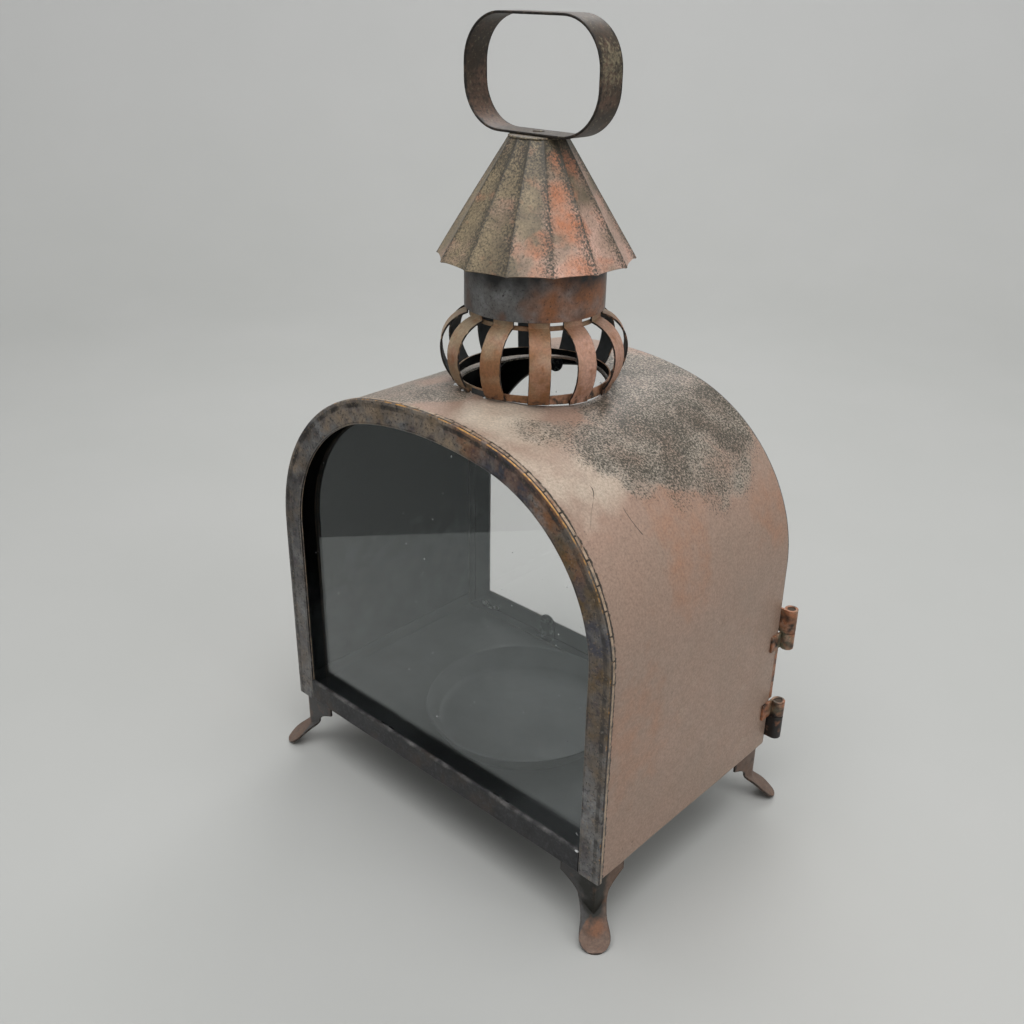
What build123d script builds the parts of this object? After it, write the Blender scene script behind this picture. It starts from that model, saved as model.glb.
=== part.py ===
"""Arched tin candle lantern with a glazed front, a hinged glass door behind, a vent cage and a fluted cap."""

import os
from math import atan2, cos, degrees, radians, sin, sqrt, tan

from build123d import *

# Sheet, glass and fits
SHEET = 0.8
GLASS = 2.0
SEAT_GAP = 0.1
RUN_GAP = 0.3
PIN_CLEARANCE = 0.05

# Arched body
SHELL_WIDTH = 195.0
BODY_DEPTH = 128.5
SIDE_HEIGHT = 98.0
SHOULDER_RADIUS = 78.0
CROWN_RADIUS = 174.0
ROOF_HOLE_RADIUS = 31.5

# Floor tray and candle pan
TRAY_LIP = 8.0
PAN_FLOOR_RADIUS = 43.0
PAN_RIM_RADIUS = 48.5
PAN_HEIGHT = 9.5

# Front frame, sill and pane
FRAME_FACE = 11.0
FRAME_FLANGE = 2.4
FRAME_HEM = 0.8
SILL_HEIGHT = 11.5
SILL_LEDGE = 14.0
PANE_SETBACK = 5.5
PANE_MARGIN = 2.2

# Clips that hold the panes
CLIP_SHEET = 0.6
CLIP_WIDTH = 10.0
FRONT_CLIP_REACH = 4.5
DOOR_CLIP_PROUD = 2.5
FLOOR_CLIP_X = 38.0
ARCH_CLIP_TURN = 6.0

# Rear door
DOOR_FACE = 13.5
DOOR_SILL = 13.4
DOOR_FLANGE = 6.0
DOOR_CLEARANCE = 0.7
DOOR_MARGIN = 0.4
DOOR_EDGE = 2.4

# Hinges of curled strap
KNUCKLE_RADIUS = 3.1
DOOR_KNUCKLE = 12.0
FIXED_KNUCKLE = 8.2
HINGE_STRAP = 1.2
PIN_RECESS = 0.4
FIXED_LEAF = 10.0
DOOR_LEAF = 16.0
UPPER_HINGE_HEIGHT = 55.0
LOWER_HINGE_HEIGHT = 4.8

# Turn latch
LATCH_HEIGHT = 42.0
LATCH_INSET = 6.5
LATCH_ARM = 11.0
LATCH_TAIL = 6.0
LATCH_WIDTH = 6.0
LATCH_SHEET = 1.0
STUD_RADIUS = 1.6
STUD_HEAD_RADIUS = 2.9
KEEPER_LENGTH = 12.0
KEEPER_FINGER = 2.0

# Vent cage
RING_HEIGHT = 2.8
CAGE_FOOT_RADIUS = 33.2
CAGE_BELLY_RADIUS = 39.5
CAGE_BELLY_HEIGHT = 14.6
CAGE_NECK_HEIGHT = 29.4
STRAP_COUNT = 12
STRAP_WIDTH = 8.5
STRAP_TUCK = 5.0
TAB_WIDTH = 8.0
TAB_FOLD = 7.0

# Collar and fluted cap
COLLAR_RADIUS = 29.4
COLLAR_BASE_HEIGHT = 31.8
CAP_RIM_RADIUS = 40.8
CAP_TOP_RADIUS = 12.0
CAP_RIM_HEIGHT = 52.5
CAP_HEIGHT = 45.8
FLUTE_COUNT = 14
FLUTE_FACETS = 4
FLUTE_DEPTH = 1.2

# Carry handle
HANDLE_LENGTH = 70.0
HANDLE_HEIGHT = 43.5
HANDLE_WIDTH = 12.7
HANDLE_CORNER = 17.5
HANDLE_STRAP = 1.0
RIVET_RADIUS = 1.4
RIVET_HEAD_RADIUS = 2.4
RIVET_HEAD = 0.5

# Corner feet
FOOT_HEIGHT = 30.0
FOOT_SHEET = 1.0
FOOT_INSET_X = 3.2
FOOT_INSET_Y = 2.6
FOOT_WING = 19.0
FOOT_STEP = 6.6
FOOT_SPREAD = 8.8
FOOT_CREASE_END = 10.3
FOOT_SLOPE = 40.0
FOOT_WAIST = 10.9
FOOT_TIP_RADIUS = 6.65
FOOT_TIP_LIFT = 0.25

# Places worked out from the sizes above
shell_half = SHELL_WIDTH / 2
spring_z = FOOT_HEIGHT + SIDE_HEIGHT
shoulder_x = shell_half - SHOULDER_RADIUS
crown_drop = sqrt((CROWN_RADIUS - SHOULDER_RADIUS) ** 2 - shoulder_x**2)
crown_centre_z = spring_z - crown_drop
crown_z = crown_centre_z + CROWN_RADIUS
shoulder_turn = degrees(atan2(crown_drop, shoulder_x))
front_y = -BODY_DEPTH / 2
rear_y = BODY_DEPTH / 2
shell_front_y = front_y + SHEET
shell_rear_y = rear_y - SHEET - RUN_GAP
tray_top_z = FOOT_HEIGHT + 2 * SHEET
frame_outset = SEAT_GAP + SHEET
frame_inset = FRAME_FACE - frame_outset
hem_rear_y = front_y + SHEET + FRAME_HEM
shell_ledge = frame_inset - SHEET - RUN_GAP

os.makedirs("parts", exist_ok=True)


def save(piece, label):
    """Label a finished piece and write its file."""
    piece.label = label
    export_step(piece, f"parts/{label}.step")


def arch_face(inset, floor_z):
    """Face of the arch, set in from the shell's outer skin and standing on floor_z."""
    side = shell_half - inset
    with BuildSketch() as face:
        with BuildLine():
            Line((-side, spring_z), (-side, floor_z))
            Line((-side, floor_z), (side, floor_z))
            Line((side, floor_z), (side, spring_z))
            CenterArc((shoulder_x, spring_z), SHOULDER_RADIUS - inset, 0, shoulder_turn)
            CenterArc((0, crown_centre_z), CROWN_RADIUS - inset, shoulder_turn, 180 - 2 * shoulder_turn)
            CenterArc((-shoulder_x, spring_z), SHOULDER_RADIUS - inset, 180 - shoulder_turn, shoulder_turn)
        make_face()
    return face.sketch


def upright(y):
    """Plane across the lantern at depth y, with X to the right and Z up, facing the front."""
    return Plane.XZ.offset(-y)


def edge_plane(origin, inward):
    """Plane at a point of a pane's edge, with its X pointing into the lantern and its Y to the rear."""
    return Plane(origin, x_dir=inward, z_dir=inward.cross(Vector(0, 1, 0)))


def clip_planes(inset, floor_z, y):
    """Planes of a pane's clips: two on the floor and one on each shoulder."""
    up = Vector(0, 0, 1)
    angle = radians(shoulder_turn - ARCH_CLIP_TURN)
    reach = SHOULDER_RADIUS - inset - CLIP_WIDTH**2 / (8 * SHOULDER_RADIUS)
    planes = []
    for side in (-1, 1):
        planes.append(edge_plane((side * FLOOR_CLIP_X, y, floor_z), up))
        shoulder = (side * (shoulder_x + reach * cos(angle)), y, spring_z + reach * sin(angle))
        planes.append(edge_plane(shoulder, Vector(-side * cos(angle), 0, -sin(angle))))
    return planes


# Arched shell: one strip of tin bent over the crown, its lower edges turned in to carry the floor
cage_ring_middle = CAGE_FOOT_RADIUS - SHEET / 2
with BuildPart() as arch_shell:
    with BuildSketch(upright(shell_front_y)):
        add(arch_face(0, FOOT_HEIGHT))
        add(arch_face(SHEET, FOOT_HEIGHT + SHEET), mode=Mode.SUBTRACT)
        with Locations((0, FOOT_HEIGHT)):
            Rectangle(SHELL_WIDTH - 2 * shell_ledge, 4 * SHEET, mode=Mode.SUBTRACT)
    extrude(amount=-(shell_rear_y - shell_front_y))
    with BuildSketch(Plane.XY.offset(crown_z)):
        Circle(ROOF_HOLE_RADIUS)
        with Locations((0, cage_ring_middle), (0, -cage_ring_middle)):
            Rectangle(TAB_WIDTH + 2 * RUN_GAP, SHEET + 2 * RUN_GAP)
    extrude(amount=-(crown_z - spring_z), mode=Mode.SUBTRACT)
save(arch_shell.part, "arch_shell")

# Floor tray: lies on the shell's ledges, with a lip up each side between the two panes
pane_front_y = front_y + PANE_SETBACK
pane_rear_y = pane_front_y + GLASS
door_flange_y = rear_y - SHEET - DOOR_FLANGE
tray_front_y = hem_rear_y + SEAT_GAP
lip_front_y = pane_rear_y + 2 * CLIP_SHEET + RUN_GAP
lip_rear_y = door_flange_y - 2 * RUN_GAP
tray_half = shell_half - SHEET - SEAT_GAP
with BuildPart() as floor_tray:
    with BuildSketch(Plane.XY.offset(FOOT_HEIGHT + SHEET)):
        with Locations((0, (tray_front_y + shell_rear_y) / 2)):
            Rectangle(2 * tray_half, shell_rear_y - tray_front_y)
    extrude(amount=SHEET)
    with BuildSketch(Plane.XY.offset(tray_top_z)):
        for side in (-1, 1):
            with Locations((side * (tray_half - SHEET / 2), (lip_front_y + lip_rear_y) / 2)):
                Rectangle(SHEET, lip_rear_y - lip_front_y)
    extrude(amount=TRAY_LIP - SHEET)
save(floor_tray.part, "floor_tray")

# Candle pan: a shallow dish with a flared rim, soldered to the middle of the floor
pan_wall = SHEET * sqrt(1 + ((PAN_RIM_RADIUS - PAN_FLOOR_RADIUS) / PAN_HEIGHT) ** 2)
with BuildPart() as candle_pan:
    with BuildSketch(Plane.XZ):
        with Locations((0, tray_top_z)):
            Polygon(
                (0, 0),
                (PAN_FLOOR_RADIUS, 0),
                (PAN_RIM_RADIUS, PAN_HEIGHT),
                (PAN_RIM_RADIUS - pan_wall, PAN_HEIGHT),
                (PAN_FLOOR_RADIUS - pan_wall + SHEET / 2, SHEET),
                (0, SHEET),
                align=None,
            )
    revolve(axis=Axis.Z)
save(candle_pan.part, "candle_pan")

# Front frame: an arched face with a flange over the shell and a narrow hem round the window
with BuildPart() as front_frame:
    with BuildSketch(upright(front_y)):
        add(arch_face(-frame_outset, FOOT_HEIGHT))
        add(arch_face(frame_inset, FOOT_HEIGHT), mode=Mode.SUBTRACT)
    extrude(amount=-SHEET)
    with BuildSketch(upright(front_y)):
        add(arch_face(-frame_outset, FOOT_HEIGHT))
        add(arch_face(-SEAT_GAP, FOOT_HEIGHT), mode=Mode.SUBTRACT)
    extrude(amount=-FRAME_FLANGE)
    with BuildSketch(upright(front_y)):
        add(arch_face(frame_inset - SHEET, FOOT_HEIGHT))
        add(arch_face(frame_inset, FOOT_HEIGHT), mode=Mode.SUBTRACT)
    extrude(amount=-(SHEET + FRAME_HEM))
save(front_frame.part, "front_frame")

# Front sill: the rail butted between the frame's legs, hemmed on top and turned in under the floor
sill_half = shell_half - frame_inset - SEAT_GAP
with BuildPart() as front_sill:
    with BuildSketch(Plane.YZ.offset(-sill_half)):
        with Locations((front_y, FOOT_HEIGHT)):
            Polygon(
                (0, 0),
                (SILL_LEDGE, 0),
                (SILL_LEDGE, SHEET),
                (SHEET, SHEET),
                (SHEET, SILL_HEIGHT - SHEET),
                (SHEET + FRAME_HEM, SILL_HEIGHT - SHEET),
                (SHEET + FRAME_HEM, SILL_HEIGHT),
                (0, SILL_HEIGHT),
                align=None,
            )
    extrude(amount=2 * sill_half)
save(front_sill.part, "front_sill")

# Front pane: arched window glass standing on the floor, set back behind the frame
pane_floor_z = tray_top_z + CLIP_SHEET + 2 * SEAT_GAP
with BuildPart() as front_pane:
    with BuildSketch(upright(pane_front_y)):
        add(arch_face(PANE_MARGIN, pane_floor_z))
    extrude(amount=-GLASS)
save(front_pane.part, "front_pane")

# Front pane clips: channels of thin tin soldered inside the shell, each gripping the edge of the pane
channel_half = GLASS / 2 + SEAT_GAP + CLIP_SHEET
pane_middle_y = (pane_front_y + pane_rear_y) / 2
with BuildPart() as front_pane_clips:
    for plane in clip_planes(SHEET + SEAT_GAP, tray_top_z, pane_middle_y):
        with BuildSketch(plane):
            Polygon(
                (0, -channel_half),
                (FRONT_CLIP_REACH, -channel_half),
                (FRONT_CLIP_REACH, -channel_half + CLIP_SHEET),
                (CLIP_SHEET, -channel_half + CLIP_SHEET),
                (CLIP_SHEET, channel_half - CLIP_SHEET),
                (FRONT_CLIP_REACH, channel_half - CLIP_SHEET),
                (FRONT_CLIP_REACH, channel_half),
                (0, channel_half),
                align=None,
            )
        extrude(amount=CLIP_WIDTH / 2, both=True)
save(front_pane_clips.part, "front_pane_clips")

# Door frame: an arched face that closes on the shell's rear edge, with a flange that slips inside it
# and an edge turned back between the hinges
door_flange_inset = SHEET + DOOR_CLEARANCE
door_floor_z = tray_top_z + DOOR_CLEARANCE
hinge_length = DOOR_KNUCKLE + RUN_GAP + FIXED_KNUCKLE
upper_base_z = FOOT_HEIGHT + UPPER_HINGE_HEIGHT
lower_base_z = FOOT_HEIGHT + LOWER_HINGE_HEIGHT
door_edge_z = lower_base_z + hinge_length + RUN_GAP
with BuildPart() as door_frame:
    with BuildSketch(upright(rear_y)):
        add(arch_face(DOOR_MARGIN, FOOT_HEIGHT + DOOR_MARGIN))
        add(arch_face(DOOR_FACE, FOOT_HEIGHT + DOOR_SILL), mode=Mode.SUBTRACT)
    extrude(amount=SHEET)
    with BuildSketch(upright(rear_y)):
        add(arch_face(door_flange_inset, door_floor_z))
        add(arch_face(door_flange_inset + SHEET, door_floor_z + SHEET), mode=Mode.SUBTRACT)
    extrude(amount=SHEET + DOOR_FLANGE)
    with BuildSketch(upright(rear_y)):
        with Locations((shell_half - DOOR_MARGIN, door_edge_z)):
            Rectangle(SHEET, upper_base_z - RUN_GAP - door_edge_z, align=(Align.MAX, Align.MIN))
    extrude(amount=-DOOR_EDGE)
save(door_frame.part, "door_frame")

# Door pane: lies against the inside of the door's face, within its flange
door_seat_inset = door_flange_inset + SHEET
door_seat_z = door_floor_z + SHEET
door_pane_y = rear_y - SHEET - SEAT_GAP
with BuildPart() as door_pane:
    with BuildSketch(upright(door_pane_y)):
        add(arch_face(door_seat_inset + RUN_GAP, door_seat_z + RUN_GAP))
    extrude(amount=GLASS)
save(door_pane.part, "door_pane")

# Door pane clips: tongues soldered to the flange and laid over the edge of the pane, with round ends
clip_face_y = door_pane_y - GLASS - SEAT_GAP
clip_reach = DOOR_FACE - door_seat_inset + DOOR_CLIP_PROUD
clip_root = DOOR_FLANGE - GLASS - 2 * SEAT_GAP - CLIP_SHEET
with BuildPart() as door_pane_clips:
    for plane in clip_planes(door_seat_inset + SEAT_GAP, door_seat_z, clip_face_y):
        with BuildSketch(Plane(plane.origin, x_dir=plane.x_dir, z_dir=-plane.y_dir)):
            with Locations(((clip_reach - CLIP_WIDTH / 2) / 2, 0)):
                Rectangle(clip_reach - CLIP_WIDTH / 2, CLIP_WIDTH)
            with Locations((clip_reach - CLIP_WIDTH / 2, 0)):
                Circle(CLIP_WIDTH / 2)
        extrude(amount=CLIP_SHEET)
        with BuildSketch(plane):
            Polygon((0, -clip_root), (CLIP_SHEET, -clip_root), (CLIP_SHEET, 0), (0, 0), align=None)
        extrude(amount=CLIP_WIDTH / 2, both=True)
save(door_pane_clips.part, "door_pane_clips")

# Hinges: strap curled round a pin, one knuckle on the shell's side and one on the back of the door
hinge_x = shell_half + KNUCKLE_RADIUS
hinge_y = rear_y + KNUCKLE_RADIUS
knuckle_bore = KNUCKLE_RADIUS - HINGE_STRAP
pin_radius = knuckle_bore - PIN_CLEARANCE


def knuckle(base_z, length, on_door):
    """One curled knuckle with its leaf, standing on base_z."""
    with BuildPart() as leaf:
        with BuildSketch(Plane.XY.offset(base_z)):
            with Locations((hinge_x, hinge_y)):
                Circle(KNUCKLE_RADIUS)
                if on_door:
                    with Locations((-DOOR_LEAF / 2, -KNUCKLE_RADIUS + HINGE_STRAP / 2)):
                        Rectangle(DOOR_LEAF, HINGE_STRAP)
                else:
                    with Locations((-KNUCKLE_RADIUS + HINGE_STRAP / 2, -FIXED_LEAF / 2)):
                        Rectangle(HINGE_STRAP, FIXED_LEAF)
                Circle(knuckle_bore, mode=Mode.SUBTRACT)
        extrude(amount=length)
    return leaf.part


def hinge_pin(base_z):
    """Pin through both knuckles, its ends sunk a little below theirs."""
    with BuildPart() as pin:
        with BuildSketch(Plane.XY.offset(base_z + PIN_RECESS)):
            with Locations((hinge_x, hinge_y)):
                Circle(pin_radius)
        extrude(amount=hinge_length - 2 * PIN_RECESS)
    return pin.part


save(knuckle(upper_base_z, FIXED_KNUCKLE, on_door=False), "upper_hinge_fixed_leaf")
save(knuckle(upper_base_z + FIXED_KNUCKLE + RUN_GAP, DOOR_KNUCKLE, on_door=True), "upper_hinge_door_leaf")
save(hinge_pin(upper_base_z), "upper_hinge_pin")
save(knuckle(lower_base_z + DOOR_KNUCKLE + RUN_GAP, FIXED_KNUCKLE, on_door=False), "lower_hinge_fixed_leaf")
save(knuckle(lower_base_z, DOOR_KNUCKLE, on_door=True), "lower_hinge_door_leaf")
save(hinge_pin(lower_base_z), "lower_hinge_pin")

# Turn latch: a button on a stud of the door, which swings into a hooked keeper on the shell's left side
latch_x = -shell_half + LATCH_INSET
latch_z = FOOT_HEIGHT + LATCH_HEIGHT
stud_base = SHEET / 2
button_y = rear_y + stud_base + SEAT_GAP
with BuildPart() as latch_stud:
    with BuildSketch(upright(rear_y)):
        with Locations((latch_x, latch_z)):
            Circle(STUD_HEAD_RADIUS)
    extrude(amount=-stud_base)
    with BuildSketch(upright(rear_y)):
        with Locations((latch_x, latch_z)):
            Circle(STUD_RADIUS)
    extrude(amount=-(stud_base + LATCH_SHEET + 2 * SEAT_GAP))
    with BuildSketch(upright(button_y + LATCH_SHEET + SEAT_GAP)):
        with Locations((latch_x, latch_z)):
            Circle(STUD_HEAD_RADIUS)
    extrude(amount=-SHEET)
save(latch_stud.part, "latch_stud")

with BuildPart() as latch_button:
    with BuildSketch(upright(button_y)):
        with Locations((latch_x, latch_z + (LATCH_ARM - LATCH_TAIL) / 2)):
            SlotOverall(LATCH_ARM + LATCH_TAIL, LATCH_WIDTH, rotation=90)
        with Locations((latch_x, latch_z)):
            Circle(STUD_RADIUS + PIN_CLEARANCE, mode=Mode.SUBTRACT)
    extrude(amount=-LATCH_SHEET)
save(latch_button.part, "latch_button")

notch_z = latch_z - LATCH_WIDTH / 2 - RUN_GAP
notch_front_y = button_y - RUN_GAP
notch_rear_y = button_y + LATCH_SHEET + RUN_GAP
keeper_base_z = notch_z - LATCH_WIDTH / 2
keeper_top_z = latch_z + LATCH_WIDTH / 2
with BuildPart() as latch_keeper:
    with BuildSketch(Plane.YZ.offset(-shell_half)):
        Polygon(
            (shell_rear_y - KEEPER_LENGTH, keeper_base_z),
            (notch_rear_y + KEEPER_FINGER, keeper_base_z),
            (notch_rear_y + KEEPER_FINGER, keeper_top_z),
            (notch_rear_y, keeper_top_z),
            (notch_rear_y, notch_z),
            (notch_front_y, notch_z),
            (notch_front_y, keeper_top_z),
            (shell_rear_y - KEEPER_LENGTH, keeper_top_z),
            align=None,
        )
    extrude(amount=-LATCH_SHEET)
save(latch_keeper.part, "latch_keeper")

# Cage lower ring: rests on the crown, with two tabs through the roof that are folded outwards under it
ring_base_z = crown_z + SEAT_GAP
tab_top_z = crown_z - SHEET - SEAT_GAP
tab_base_z = tab_top_z - SHEET
with BuildPart() as cage_lower_ring:
    with BuildSketch(Plane.XY.offset(ring_base_z)):
        Circle(CAGE_FOOT_RADIUS)
        Circle(CAGE_FOOT_RADIUS - SHEET, mode=Mode.SUBTRACT)
    extrude(amount=RING_HEIGHT)
    for side in (-1, 1):
        with BuildSketch(Plane.XY.offset(tab_base_z)):
            with Locations((0, side * cage_ring_middle)):
                Rectangle(TAB_WIDTH, SHEET)
        extrude(amount=ring_base_z + RING_HEIGHT / 2 - tab_base_z)
        with BuildSketch(Plane.XY.offset(tab_base_z)):
            with Locations((0, side * (cage_ring_middle + TAB_FOLD / 2))):
                Rectangle(TAB_WIDTH, TAB_FOLD)
        extrude(amount=SHEET)
save(cage_lower_ring.part, "cage_lower_ring")

# Cage straps: flat strips bellied out over the lower ring and drawn in to pass up inside the collar
collar_bore = COLLAR_RADIUS - SHEET
neck_radius = sqrt((collar_bore - SEAT_GAP) ** 2 - (STRAP_WIDTH / 2) ** 2) - SHEET
collar_base_z = crown_z + COLLAR_BASE_HEIGHT
strap_foot = (CAGE_FOOT_RADIUS + SEAT_GAP + SHEET, crown_z + RUN_GAP)
strap_belly = (CAGE_BELLY_RADIUS, crown_z + CAGE_BELLY_HEIGHT)
strap_neck = (neck_radius + SHEET, crown_z + CAGE_NECK_HEIGHT)
strap_top = (neck_radius + SHEET, collar_base_z + STRAP_TUCK)
with BuildPart() as strap:
    with BuildSketch(Plane.XZ):
        with BuildLine():
            TangentArc(strap_belly, strap_foot, tangent=(0, -1))
            TangentArc(strap_belly, strap_neck, tangent=(0, 1))
            Line(strap_neck, strap_top)
            offset(amount=SHEET, side=Side.RIGHT)
        make_face()
    extrude(amount=STRAP_WIDTH / 2, both=True)
with BuildPart() as cage_straps:
    with PolarLocations(0, STRAP_COUNT, start_angle=180 / STRAP_COUNT):
        add(strap.part)
save(cage_straps.part, "cage_straps")

# Cage upper ring: a band inside the straps, just below the collar
upper_ring_radius = neck_radius - SEAT_GAP
with BuildPart() as cage_upper_ring:
    with BuildSketch(Plane.XY.offset(crown_z + CAGE_NECK_HEIGHT - RING_HEIGHT / 2)):
        Circle(upper_ring_radius)
        Circle(upper_ring_radius - SHEET, mode=Mode.SUBTRACT)
    extrude(amount=RING_HEIGHT)
save(cage_upper_ring.part, "cage_upper_ring")

# Vent collar: a short tube over the straps' tops, its upper edge against the underside of the cap
rim_z = crown_z + CAP_RIM_HEIGHT
cap_top_z = rim_z + CAP_HEIGHT
cap_wall = SHEET * sqrt(1 + ((CAP_RIM_RADIUS - CAP_TOP_RADIUS) / CAP_HEIGHT) ** 2)
hollow_share = 1 - FLUTE_DEPTH / CAP_RIM_RADIUS
cap_bore_rim = CAP_RIM_RADIUS - cap_wall
cap_bore_top = CAP_TOP_RADIUS - cap_wall
collar_share = (cap_bore_rim - (COLLAR_RADIUS + RUN_GAP) / hollow_share) / (cap_bore_rim - cap_bore_top)
collar_top_z = rim_z + collar_share * CAP_HEIGHT
with BuildPart() as vent_collar:
    with BuildSketch(Plane.XY.offset(collar_base_z)):
        Circle(COLLAR_RADIUS)
        Circle(collar_bore, mode=Mode.SUBTRACT)
    extrude(amount=collar_top_z - collar_base_z)
save(vent_collar.part, "vent_collar")


def fluted_line(radius, height):
    """Corners round the cap at one height: a sharp ridge at each fold and a hollow between each two folds."""
    corners = []
    for step in range(FLUTE_COUNT * FLUTE_FACETS):
        share = step % FLUTE_FACETS / FLUTE_FACETS
        hollow = 1 - (1 - hollow_share) * 4 * share * (1 - share)
        turn = 360 * (step / FLUTE_FACETS + 0.5) / FLUTE_COUNT
        corners.append(Vector(radius * hollow, 0, height).rotate(Axis.Z, turn))
    return corners


def fluted_cone(rim_radius, top_radius):
    """Solid cone with flat facets from the fluted rim to the fluted top."""
    rim = fluted_line(rim_radius, rim_z)
    top = fluted_line(top_radius, cap_top_z)
    facets = [Face(Wire.make_polygon(rim)), Face(Wire.make_polygon(top))]
    for step in range(len(rim)):
        facets.append(Face(Wire.make_polygon([rim[step - 1], rim[step], top[step], top[step - 1]])))
    return Solid(Shell(facets))


# Fluted cap: a cone of tin with sharp radial folds that grow shallower towards its flat top
with BuildPart() as fluted_cap:
    add(fluted_cone(CAP_RIM_RADIUS, CAP_TOP_RADIUS))
    add(fluted_cone(cap_bore_rim, cap_bore_top), mode=Mode.SUBTRACT)
save(fluted_cap.part, "fluted_cap")

# Cap plate: the flat disc that closes the cone and carries the handle
with BuildPart() as cap_plate:
    with BuildSketch(Plane.XY.offset(cap_top_z)):
        Circle(CAP_TOP_RADIUS)
        Circle(RIVET_RADIUS, mode=Mode.SUBTRACT)
    extrude(amount=SHEET)
save(cap_plate.part, "cap_plate")

# Carry handle: a strap bent to a closed loop, riveted to the plate through its lower run
handle_base_z = cap_top_z + SHEET
with BuildPart() as carry_handle:
    with BuildSketch(Plane.XZ):
        with Locations((0, handle_base_z + HANDLE_HEIGHT / 2)):
            RectangleRounded(HANDLE_LENGTH, HANDLE_HEIGHT, HANDLE_CORNER)
            offset(amount=-HANDLE_STRAP, mode=Mode.SUBTRACT)
    extrude(amount=HANDLE_WIDTH / 2, both=True)
    with BuildSketch(Plane.XY.offset(handle_base_z)):
        Circle(RIVET_RADIUS)
    extrude(amount=HANDLE_STRAP, mode=Mode.SUBTRACT)
save(carry_handle.part, "carry_handle")

# Handle rivet: its shank passes through strap and plate, with a flat head on either side
rivet_top_z = handle_base_z + HANDLE_STRAP
with BuildPart() as handle_rivet:
    with BuildSketch(Plane.XY.offset(cap_top_z)):
        Circle(RIVET_RADIUS)
    extrude(amount=rivet_top_z - cap_top_z)
    with BuildSketch(Plane.XY.offset(rivet_top_z)):
        Circle(RIVET_HEAD_RADIUS)
    extrude(amount=RIVET_HEAD)
    with BuildSketch(Plane.XY.offset(cap_top_z - RIVET_HEAD)):
        Circle(RIVET_HEAD_RADIUS)
    extrude(amount=RIVET_HEAD)
save(handle_rivet.part, "handle_rivet")

# Corner feet: tin folded at the corner, its two wings drawn in to a waist and its end turned out to a
# round tongue that slopes down to the floor
corner_x = shell_half + frame_outset - FOOT_INSET_X
corner_y = front_y + FOOT_INSET_Y
outward = Vector(1, -1, 0).normalized()
across = Vector(1, 1, 0).normalized()
slope = radians(FOOT_SLOPE)
spread_half = FOOT_SPREAD / sqrt(2)
spread_z = FOOT_CREASE_END + spread_half * tan(slope)
crease_foot = Vector(corner_x, corner_y, FOOT_CREASE_END)
down_slope = outward * cos(slope) - Vector(0, 0, sin(slope))
tip_run = (FOOT_CREASE_END - FOOT_TIP_LIFT) / sin(slope)
tip_centre = tip_run - FOOT_TIP_RADIUS
spread_run = spread_half / cos(slope)
tuck_run = FOOT_SHEET * sqrt(2) / cos(slope)
tuck_share = 1 - 2 * FOOT_SHEET / FOOT_SPREAD


def wing_outline():
    """Outline of one wing, from the fold at zero out to its end, with a hollow lower edge."""
    step_z = FOOT_HEIGHT - FOOT_STEP
    with BuildLine() as outline:
        Polyline((FOOT_SPREAD, spread_z), (0, FOOT_CREASE_END), (0, FOOT_HEIGHT), (FOOT_WING, FOOT_HEIGHT))
        Line((FOOT_WING, FOOT_HEIGHT), (FOOT_WING, step_z))
        Bezier((FOOT_WING, step_z), (FOOT_SPREAD, (step_z + spread_z) / 2), (FOOT_SPREAD, spread_z))
    return outline.edges()


with BuildPart() as corner_foot:
    with BuildSketch(Plane((corner_x, corner_y, 0), x_dir=(-1, 0, 0), z_dir=(0, 1, 0))):
        make_face(wing_outline())
    extrude(amount=FOOT_SHEET)
    with BuildSketch(Plane((corner_x, corner_y, 0), x_dir=(0, 1, 0), z_dir=(1, 0, 0))):
        make_face(wing_outline())
    extrude(amount=-FOOT_SHEET)
    with BuildSketch(Plane(crease_foot, x_dir=down_slope, z_dir=down_slope.cross(across))):
        with BuildLine():
            tuck_end = (-tuck_run - tuck_share * spread_run, tuck_share * spread_half)
            Polyline((-tuck_run, 0), tuck_end, (-spread_run, spread_half))
            ThreePointArc((-spread_run, spread_half), (0, FOOT_WAIST / 2), (tip_centre, FOOT_TIP_RADIUS))
            mirror(about=Plane.XZ)
            CenterArc((tip_centre, 0), FOOT_TIP_RADIUS, -90, 180)
        make_face()
    extrude(amount=-FOOT_SHEET)
    split(bisect_by=Plane.XY, keep=Keep.TOP)

front_left = mirror(corner_foot.part, about=Plane.YZ)
save(corner_foot.part, "front_right_foot")
save(front_left, "front_left_foot")
save(mirror(corner_foot.part, about=Plane.XZ), "rear_right_foot")
save(mirror(front_left, about=Plane.XZ), "rear_left_foot")
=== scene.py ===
from math import atan2, cos, hypot, pi, radians, sin, sqrt

import bmesh
import bpy
import numpy as np
from mathutils import Matrix, Vector, noise


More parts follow.
